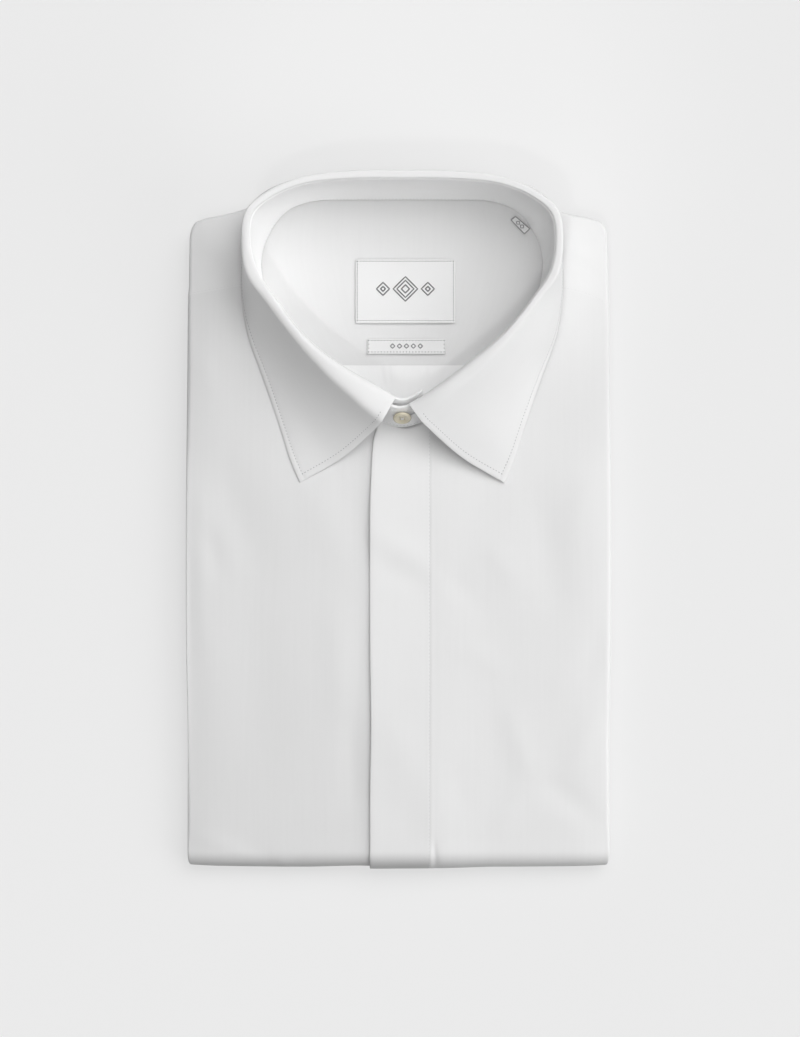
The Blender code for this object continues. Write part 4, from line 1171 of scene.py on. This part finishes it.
def stand_piece():
    steps = spread(INNER_END, 0.0, 0.18)[:-1] + spread(0.0, LOOP_LENGTH, 0.25)
    steps += spread(LOOP_LENGTH, OUTER_END, 0.15)[1:]
    heights = (0.0, 0.06, 0.14, 0.25, 0.4, 0.55, 0.7, 0.82, 0.9, 0.96, 1.0)
    rows = [[stand_point(t, h) for h in heights] for t in steps]
    return cloth("collar_band", rows, BAND_CLOTH, STAND_WALL, flip=True)


stand = stand_piece()
LEAF_ROWS, LEAF_FACING = leaf_shape()
fall = cloth("collar_leaf", LEAF_ROWS, COLLAR_CLOTH, FALL_WALL, flip=True)


# ---------------------------------------------------------------- the layers folded away

def layer_top(x):
    """y of the folded edge at the top, behind the collar."""
    return table_value([(p[0], p[1]) for p in SHOULDER_LINE[4:]], abs(x))


def ply_rows(inset, low, high_inset, height):
    """One flat ply: from low to high_inset short of the folded top edge."""
    rows = []
    for j in range(33):
        v = j / 32
        row = []
        for i in range(25):
            u = 2.0 * i / 24 - 1.0
            end = layer_top(u * 99.0) - high_inset
            y = lerp(low, end, v)
            half = table_value(SIDE_LINE, y) - inset
            rounding = 5.0 * max(abs(2.0 * v - 1.0) - 0.94, 0.0) / 0.06 * u ** 4
            x = u * (half - rounding)
            sway = 0.12 * noise.noise(Vector((x * 0.03, y * 0.02, inset)))
            row.append(Vector((x, y, middle_height(y) + height + sway)))
        rows.append(row)
    return rows


PLIES = (                 # name, inset at the sides, lowest y, short of the top edge, height
    ("lower_sleeve_ply", 3.6, ROLL_Y + 2.0, 24.0, -0.12),
    ("upper_sleeve_ply", 4.6, ROLL_Y + 3.0, 21.0, 0.62),
    ("tail_ply", 6.2, -120.0, 2.2, 2.1),
)
plies = [cloth(name, ply_rows(*places), POPLIN, PLY_WALL) for name, *places in PLIES]


# ---------------------------------------------------------------- thread

def stitch_nodes():
    """One stitch after another along a path, each lying flat on its cloth."""
    group, source, sink = node_group(
        "stitch_row", "GeometryNodeTree",
        (("Path", "NodeSocketGeometry", None), ("Pitch", "NodeSocketFloat", 0.0022),
         ("Length", "NodeSocketFloat", 0.0016), ("Width", "NodeSocketFloat", 0.0004),
         ("Seed", "NodeSocketInt", 1), ("Thread", "NodeSocketMaterial", None)),
        (("Stitches", "NodeSocketGeometry"),))
    curve = add_node(group, "GeometryNodeMeshToCurve", {"Mesh": source["Path"]})["Curve"]
    spaced = add_node(
        group, "GeometryNodeResampleCurve", {"Curve": curve, "Length": source["Pitch"]}, mode="LENGTH")
    tangent = add_node(group, "GeometryNodeInputTangent", {})["Tangent"]
    outward = add_node(
        group, "GeometryNodeInputNamedAttribute", {"Name": "outward"}, data_type="FLOAT_VECTOR")
    along = add_node(group, "FunctionNodeAlignRotationToVector", {"Vector": tangent}, axis="X")
    upright = add_node(
        group, "FunctionNodeAlignRotationToVector",
        {"Rotation": along["Rotation"], "Vector": outward["Attribute"]}, axis="Z", pivot_axis="X")
    stitch = add_node(group, "GeometryNodeMeshIcoSphere", {"Radius": 0.5, "Subdivisions": 2})
    uneven = add_node(
        group, "FunctionNodeRandomValue", {2: 0.88, 3: 1.08, "Seed": source["Seed"]}, data_type="FLOAT")[1]
    length = add_math(group, "MULTIPLY", source["Length"], uneven)
    size = add_node(group, "ShaderNodeCombineXYZ", {"X": length, "Y": source["Width"], "Z": source["Width"]})
    placed = add_node(
        group, "GeometryNodeInstanceOnPoints",
        {"Points": spaced["Curve"], "Instance": stitch["Mesh"], "Rotation": upright["Rotation"],
         "Scale": size["Vector"]})
    real = add_node(group, "GeometryNodeRealizeInstances", {"Geometry": placed["Instances"]})
    smooth = add_node(group, "GeometryNodeSetShadeSmooth", {"Geometry": real["Geometry"]})
    coloured = add_node(
        group, "GeometryNodeSetMaterial", {"Geometry": smooth["Geometry"], "Material": source["Thread"]})
    group.links.new(coloured["Geometry"], sink["Stitches"])
    sockets = group.interface.items_tree
    return group, {socket.name: socket.identifier for socket in sockets if socket.in_out == "INPUT"}


STITCH_ROW, STITCH_INPUTS = stitch_nodes()
# painted shade: white sewing thread coloured grey, and darker still on the leaf, for the shade in and beside
# its needle holes
SEWING_THREAD = plain_finish("sewing_thread", (0.60, 0.60, 0.61, 1.0), 0.5, 0.2)[0]
LEAF_THREAD = plain_finish("leaf_thread", (0.36, 0.36, 0.37, 1.0), 0.5, 0.2)[0]
LABEL_THREAD = plain_finish("label_thread", (0.10, 0.10, 0.105, 1.0), 0.5, 0.2)[0]
# dark thread for the labels' printed marks, also laid round the size tab as a painted shadow
PRINT_AND_SHADOW_THREAD = plain_finish("print_and_shadow_thread", (0.05, 0.05, 0.055, 1.0), 0.5, 0.2)[0]


def stitched(name, paths, thread, pitch, length, width):
    """Rows of stitches along paths of places and the directions they face."""
    places, outwards, edges = [], [], []
    for path in paths:
        first = len(places)
        for point, outward in path:
            places.append((point + outward * 0.1 * width) * MM)
            outwards.append(outward)
        edges += [(first + k, first + k + 1) for k in range(len(path) - 1)]
    mesh = bpy.data.meshes.new(name)
    mesh.from_pydata(places, edges, [])
    facing = mesh.attributes.new("outward", "FLOAT_VECTOR", "POINT")
    for k, outward in enumerate(outwards):
        facing.data[k].vector = outward
    item = fresh_object(name, mesh, thread)
    rows = item.modifiers.new("stitches", "NODES")
    rows.node_group = STITCH_ROW
    values = {"Pitch": pitch * MM, "Length": length * MM, "Width": width * MM, "Seed": 7, "Thread": thread}
    for title, value in values.items():
        rows[STITCH_INPUTS[title]] = value
    return settle(item)


def leaf_place(column, reach, far_end=False):
    """A place and its facing on one long line of the leaf, reach from an end of it."""
    order = -1 if far_end else 1
    points = [row[column] for row in LEAF_ROWS][::order]
    outwards = [row[column] for row in LEAF_FACING][::order]
    lengths = line_lengths(points)
    near = min(range(len(points)), key=lambda k: abs(lengths[k] - reach))
    return along_line(points, lengths, reach), outwards[near]


def leaf_paths():
    """Along both front edges from the roll down, and along the hem between them."""
    hem = len(LEAF_ROWS[0]) - 1 - LEAF_FROM_HEM.index(EDGE_STITCH)
    total = line_lengths([row[hem] for row in LEAF_ROWS])[-1]
    count = int(total / 1.5)
    paths = [[leaf_place(hem, lerp(EDGE_STITCH, total - EDGE_STITCH, k / count)) for k in range(count + 1)]]
    for far_end in (False, True):
        paths.append([leaf_place(i, EDGE_STITCH, far_end) for i in range(ROLL_PARTS - 3, hem + 1)])
    return paths


def stand_paths():
    """Inside along the neck, and outside along the top of the buttoned end."""
    inside = [(stand_point(t, 0.06), -collar_outward(t)) for t in spread(0.0, LOOP_LENGTH, 0.1)]
    ends = []
    for height in (0.12, 0.86):
        ends.append([
            (stand_point(t, height) + collar_outward(t) * STAND_WALL, collar_outward(t))
            for t in spread(LOOP_LENGTH - 0.9, OUTER_END - 0.1, 0.06)
        ])
    return [inside] + ends


def placket_path(x):
    """Down the placket's sewn side, round the roll and on along the underside."""
    path = []
    for w in spread(front_start(x) - 1.0, UNDER_END, 1.5):
        depth = placket_layer(x, w) - creases_at(PLACKET_CREASES, x, w) + FLUSH * under(w)
        path.append((body_point(x, w, depth), Vector((0.0, *u_path(w)[2:]))))
    return path


def yoke_paths(inset):
    """Beside each front seam of the yoke."""
    up = Vector((0.0, 0.0, 1.0))
    paths = []
    for side in (-1.0, 1.0):
        xs = spread(side * 76.0, side * 100.0, 1.5)
        paths.append([(body_point(x, seam_y(x) + inset, 0.0), up) for x in xs])
    return paths


def label_paths(label, lift, inset):
    """Round a label, inset from its edges."""
    width, height = label[2:]
    half_x, half_y = 0.5 * width - inset, 0.5 * height - inset
    corners = [(-half_x, -half_y), (half_x, -half_y), (half_x, half_y), (-half_x, half_y)]
    paths = []
    for (ax, ay), (bx, by) in zip(corners, corners[1:] + corners[:1]):
        count = max(int(hypot(bx - ax, by - ay) / 2.0), 2)
        shares = [k / count for k in range(count + 1)]
        paths.append([label_place(label, lerp(ax, bx, u), lerp(ay, by, u), lift) for u in shares])
    return paths


def label_place(label, across, up, lift):
    px, py = label[0] + across, label[1] + up
    return Vector((px, py, label_height(label, px, py, lift))), Vector((0.0, 0.0, 1.0))


def ring_points(count, radius, height):
    """Places round the Z axis, at one height."""
    angles = [2.0 * pi * k / count for k in range(count)]
    return [Vector((radius * cos(angle), radius * sin(angle), height)) for angle in angles]


def join_rings(shape, low, high):
    """A band of smooth faces between two rings of as many places."""
    for k in range(len(low)):
        n = (k + 1) % len(low)
        shape.faces.new((low[k], low[n], high[n], high[k])).smooth = True


def cord_mesh(shape, points, radius, closed=False):
    """A round thread along points, with rounded ends."""
    count = len(points)
    rings = []
    for k, point in enumerate(points):
        if closed:
            along = points[(k + 1) % count] - points[k - 1]
        else:
            along = points[min(k + 1, count - 1)] - points[max(k - 1, 0)]
        turn = along.to_track_quat("Z", "Y")
        thick = radius if closed or 0 < k < count - 1 else 0.45 * radius
        circle = ring_points(6, thick, 0.0)
        rings.append([shape.verts.new((point + turn @ offset) * MM) for offset in circle])
    for low, high in zip(rings, rings[1:] + ([rings[0]] if closed else [])):
        join_rings(shape, low, high)
    if not closed:
        shape.faces.new(tuple(reversed(rings[0]))).smooth = True
        shape.faces.new(rings[-1]).smooth = True


def cord_piece(name, lines, radius, finish, closed=False):
    shape = bmesh.new()
    for line in lines:
        cord_mesh(shape, line, radius, closed)
    bmesh.ops.recalc_face_normals(shape, faces=shape.faces)
    return made_of(name, shape, finish)


leaf_stitches = stitched("leaf_stitches", leaf_paths(), LEAF_THREAD, 1.6, 0.85, 0.34)
stand_stitches = stitched("band_stitches", stand_paths(), SEWING_THREAD, 1.7, 0.9, 0.22)
placket_stitches = stitched("placket_stitches", [placket_path(15.05)], SEWING_THREAD, 1.8, 1.0, 0.22)
yoke_stitches = stitched("yoke_stitches", yoke_paths(0.8), SEWING_THREAD, 1.8, 1.1, 0.16)


# ---------------------------------------------------------------- the button

HOLES = [(sx * BUTTON_HOLE_PITCH, sy * BUTTON_HOLE_PITCH) for sx in (-1.0, 1.0) for sy in (-1.0, 1.0)]
PEARL = plain_finish("pearl_button", (0.62, 0.57, 0.44, 1.0), 0.22, coat=0.4)[0]
BUTTON_THREAD = plain_finish("button_thread", (0.7, 0.7, 0.7, 1.0), 0.5, 0.2)[0]


def button_place():
    """From the button's own axes to its place on the stand."""
    out = collar_outward(LOOP_LENGTH)
    above = STAND_WALL + BUTTON_CLEAR - BUTTON_PROFILE[-1][1]
    centre = stand_point(LOOP_LENGTH, BUTTON_HEIGHT) + out * above
    return Matrix.Translation(centre * MM) @ out.to_track_quat("Z", "Y").to_matrix().to_4x4()


def button_piece():
    """A dished disc with a rim, drilled four times."""
    shape = bmesh.new()
    rings = []
    for radius, height in BUTTON_PROFILE:
        circle = ring_points(48, radius, height)
        rings.append([shape.verts.new(place * MM) for place in circle])
    for inner, outer in zip(rings, rings[1:]):
        join_rings(shape, outer, inner)
    shape.faces.new(rings[0])
    shape.faces.new(tuple(reversed(rings[-1])))
    item = made_of("collar_button_disc", shape, PEARL)
    drill = bmesh.new()
    for sx, sy in HOLES:
        made = bmesh.ops.create_cone(
            drill, cap_ends=True, segments=20, radius1=BUTTON_HOLE_RADIUS * MM,
            radius2=BUTTON_HOLE_RADIUS * MM, depth=6.0 * MM)
        bmesh.ops.translate(drill, verts=made["verts"], vec=Vector((sx, sy, 0.0)) * MM)
    cutter = made_of("drill", drill, PEARL)
    cut = item.modifiers.new("holes", "BOOLEAN")
    cut.operation = "DIFFERENCE"
    cut.solver = "EXACT"
    cut.object = cutter
    settle(item)
    bpy.data.objects.remove(cutter, do_unlink=True)
    item.data.transform(button_place())
    return item


def button_thread_piece():
    """A cross of thread over the holes and the short shank under the button."""
    place = button_place()
    lines = []
    for low, high in ((0, 3), (1, 2)):
        a, b = [Vector((HOLES[k][0], HOLES[k][1], 0.0)) for k in (low, high)]
        arc = []
        for k in range(9):
            share = k / 8
            height = -0.2 + 0.85 * sin(pi * share) ** 0.6
            arc.append(place @ ((a.lerp(b, share) + Vector((0.0, 0.0, height))) * MM) / MM)
        lines.append(arc)
    for sx, sy in HOLES:
        foot = Vector((0.5 * sx, 0.5 * sy, -0.95 - BUTTON_CLEAR)) * MM
        lines.append([place @ foot / MM, place @ (Vector((sx, sy, -0.6)) * MM) / MM])
    return cord_piece("button_thread", lines, 0.24, BUTTON_THREAD)


def buttonhole_piece():
    """The buttonhole in the outer end: a long loop of close stitches."""
    loop = []
    for k in range(40):
        angle = 2.0 * pi * k / 40
        t = LOOP_LENGTH - BUTTONHOLE_SHIFT + BUTTONHOLE_HALF * cos(angle)
        height = BUTTON_HEIGHT + BUTTONHOLE_OPEN * sin(angle)
        loop.append(stand_point(t, height) + collar_outward(t) * (STAND_WALL + 0.05))
    return cord_piece("buttonhole", [loop], 0.2, SEWING_THREAD, closed=True)


button = button_piece()
button_thread = button_thread_piece()
buttonhole = buttonhole_piece()


# ---------------------------------------------------------------- labels

def label_height(label, x, y, lift):
    """The label lies on the cloth and lifts a little along its lower edge."""
    from_edge = y - (label[1] - 0.5 * label[3])
    return neck_height(x, y) + lift + LABEL_CURL * exp(-from_edge / LABEL_CURL_REACH)


def label_piece(name, label, lift):
    x, y, width, height = label
    rows = []
    for j in range(17):
        row = []
        for i in range(19):
            px = x + width * (i / 18 - 0.5)
            py = y + height * ((j / 16) ** 1.3 - 0.5)
            row.append(Vector((px, py, label_height(label, px, py, lift))))
        rows.append(row)
    return cloth(name, rows, LABEL_CLOTH, LABEL_WALL)


def lozenge(label, lift, across, up, half_x, half_y):
    """A small diamond worked on a label."""
    corners = [(half_x, 0.0), (0.0, half_y), (-half_x, 0.0), (0.0, -half_y)]
    line = []
    for k in range(4):
        (ax, ay), (bx, by) = corners[k], corners[(k + 1) % 4]
        for step in range(6):
            share = step / 6
            line.append(label_place(label, across + lerp(ax, bx, share), up + lerp(ay, by, share), lift)[0])
    return line


def motif_piece(name, label, lift, places, radius):
    lines = [lozenge(label, lift, *place) for place in places]
    return cord_piece(name, lines, radius, PRINT_AND_SHADOW_THREAD, closed=True)


def tab_place(u, v):
    """A place on the size tab: u along it, v from its free edge to the neck seam."""
    corners = [Vector(place) for place in TAB_CORNERS]
    p = corners[3].lerp(corners[2], u).lerp(corners[0].lerp(corners[1], u), v)
    return Vector((p.x, p.y, bowl_height(p.x, p.y) + TAB_LIFT + TAB_CURL * (1.0 - v)))


def tab_piece():
    rows = [[tab_place(i / 6, j / 4) for i in range(7)] for j in range(5)]
    return cloth("size_tab_cloth", rows, LABEL_CLOTH, LABEL_WALL)


def tab_motif_and_shadow_piece():
    """A dark thread round the tab's edge, a painted shadow of the gap round it, and two small diamonds on
    it.
    """
    near, far = 0.04, 0.96
    half_u, half_v = 0.1, 0.3
    outlines = [[(near, near), (far, near), (far, far), (near, far)]]
    for u in (0.36, 0.62):
        outlines.append([(u, 0.5 - half_v), (u + half_u, 0.5), (u, 0.5 + half_v), (u - half_u, 0.5)])
    lines = []
    for outline in outlines:
        line = []
        for (au, av), (bu, bv) in zip(outline, outline[1:] + outline[:1]):
            line += [tab_place(lerp(au, bu, k / 5), lerp(av, bv, k / 5)) for k in range(5)]
        lines.append(line)
    return cord_piece("size_tab_motif_and_shadow", lines, 0.15, PRINT_AND_SHADOW_THREAD, closed=True)


NECK_LIFT, SMALL_LIFT = 0.75, 0.7
NECK_MOTIF = (            # across, up, half width, half height
    (0.0, 1.0, 6.0, 6.0), (0.0, 1.0, 4.2, 4.2), (0.0, 1.0, 2.0, 2.0), (-11.0, 1.0, 3.2, 3.2),
    (11.0, 1.0, 3.2, 3.2), (-11.0, 1.0, 1.2, 1.2), (11.0, 1.0, 1.2, 1.2),
)
SMALL_MOTIF = tuple((3.4 * k, 0.1, 1.1, 1.1) for k in range(-2, 3))

neck_label = label_piece("neck_label_cloth", NECK_LABEL, NECK_LIFT)
small_label = label_piece("small_label_cloth", SMALL_LABEL, SMALL_LIFT)
size_tab = tab_piece()
tab_motif_and_shadow = tab_motif_and_shadow_piece()
neck_motif = motif_piece("neck_label_motif", NECK_LABEL, NECK_LIFT, NECK_MOTIF, 0.28)
small_motif = motif_piece("small_label_motif", SMALL_LABEL, SMALL_LIFT, SMALL_MOTIF, 0.2)
neck_label_stitches = stitched(
    "neck_label_stitches", label_paths(NECK_LABEL, NECK_LIFT, 1.2), LABEL_THREAD, 1.5, 0.7, 0.46)
small_label_stitches = stitched(
    "small_label_stitches", label_paths(SMALL_LABEL, SMALL_LIFT, 0.9), LABEL_THREAD, 1.5, 0.7, 0.42)


# ---------------------------------------------------------------- stage, light and camera

FLOOR_DIFFUSE = 0.27
FLOOR_GLOW = 0.56


def make_stage():
    shape = bmesh.new()
    bmesh.ops.create_grid(shape, x_segments=1, y_segments=1, size=3.0)
    finish, shader = plain_finish("lit_floor", (FLOOR_DIFFUSE,) * 3 + (1.0,), 0.9)
    shader.inputs["Specular IOR Level"].default_value = 0.0
    shader.inputs["Emission Color"].default_value = (1.0, 1.0, 1.0, 1.0)
    shader.inputs["Emission Strength"].default_value = FLOOR_GLOW
    made_of("floor", shape, finish)


def hang(light, place, away):
    """Put a light at place, with its back turned the way that away points."""
    item = bpy.data.objects.new(light.name, light)
    item.location = place
    item.rotation_mode = "QUATERNION"
    item.rotation_quaternion = away.to_track_quat("Z", "Y")
    bpy.context.scene.collection.objects.link(item)


def soft_sun(name, azimuth, elevation, width, strength):
    """A broad even light; azimuth is counted from +X towards +Y."""
    light = bpy.data.lights.new(name, "SUN")
    light.angle = radians(width)
    light.energy = strength
    a, e = radians(azimuth), radians(elevation)
    away = Vector((cos(a) * cos(e), sin(a) * cos(e), sin(e)))
    hang(light, away * 2.0, away)


def collar_spot(place, target, cone, power):
    """A small soft lamp on the inside of the collar's back."""
    light = bpy.data.lights.new("collar_spot", "SPOT")
    light.energy = power
    light.shadow_soft_size = 0.12
    light.spot_size = radians(cone)
    light.spot_blend = 1.0
    hang(light, place, Vector(place) - Vector(target))


def room_light(strength):
    world = bpy.data.worlds.new("room")
    world.use_nodes = True
    background = world.node_tree.nodes["Background"]
    background.inputs["Color"].default_value = (1.0, 1.0, 1.0, 1.0)
    background.inputs["Strength"].default_value = strength
    bpy.context.scene.world = world


def make_camera():
    data = bpy.data.cameras.new("camera")
    data.lens = 141.7
    data.sensor_width = 36.0
    data.clip_start = 0.05
    data.clip_end = 20.0
    item = bpy.data.objects.new("camera", data)
    item.location = (0.000735, 0.0, 2.015)
    bpy.context.scene.collection.objects.link(item)
    bpy.context.scene.camera = item


LIGHTS = (                # name, azimuth, elevation, width, strength
    ("key", 50.0, 45.0, 40.0, 1.20),
    ("side", 340.0, 30.0, 40.0, 1.06),
    ("low", 20.0, 25.0, 30.0, 0.33),
    ("behind", 90.0, 55.0, 40.0, 0.63),
    ("before", 270.0, 45.0, 40.0, 0.42),
    ("far_side", 180.0, 45.0, 40.0, 0.08),
    ("overhead", 0.0, 89.0, 60.0, 0.67),
)
SPOT_PLACE = (-0.14, -0.27, 1.05)       # metres
SPOT_TARGET = (0.014, 0.176, 0.025)

make_stage()
for light in LIGHTS:
    soft_sun(*light)
collar_spot(SPOT_PLACE, SPOT_TARGET, cone=6.2, power=50.0)
room_light(0.02)
make_camera()
bpy.context.scene.view_settings.view_transform = "Standard"


# ---------------------------------------------------------------- the frame

def hand_over(piece, slot, *nodes):
    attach(piece, "root")
    if nodes:
        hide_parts(*nodes)


for piece, slot, *nodes in (
        (shirt_right, "shirting", "front_right"),
        (shirt_left, "shirting", "front_left"),
        (placket, "shirting", "placket"),
        (yoke, "shirting", "yoke"),
        (lining, "shirting", "yoke_lining"),
        (back, "shirting", "back"),
        (stand, "shirting", "collar_stand"),
        (fall, "shirting", "collar_fall"),
        (neck_label, "label", "neck_label"),
        (small_label, "label", "small_label"),
        (size_tab, "label", "size_tab"),
        (plies[0], "shirting", "folded_layers"),
        (plies[1], "shirting"),
        (plies[2], "shirting"),
        (button, "button", "collar_button"),
        (button_thread, "button")):
    hand_over(piece, slot, *nodes)
for piece in (leaf_stitches, stand_stitches, placket_stitches, yoke_stitches, buttonhole):
    hand_over(piece, "shirting")
for piece in (neck_motif, small_motif, tab_motif_and_shadow, neck_label_stitches, small_label_stitches):
    hand_over(piece, "label")
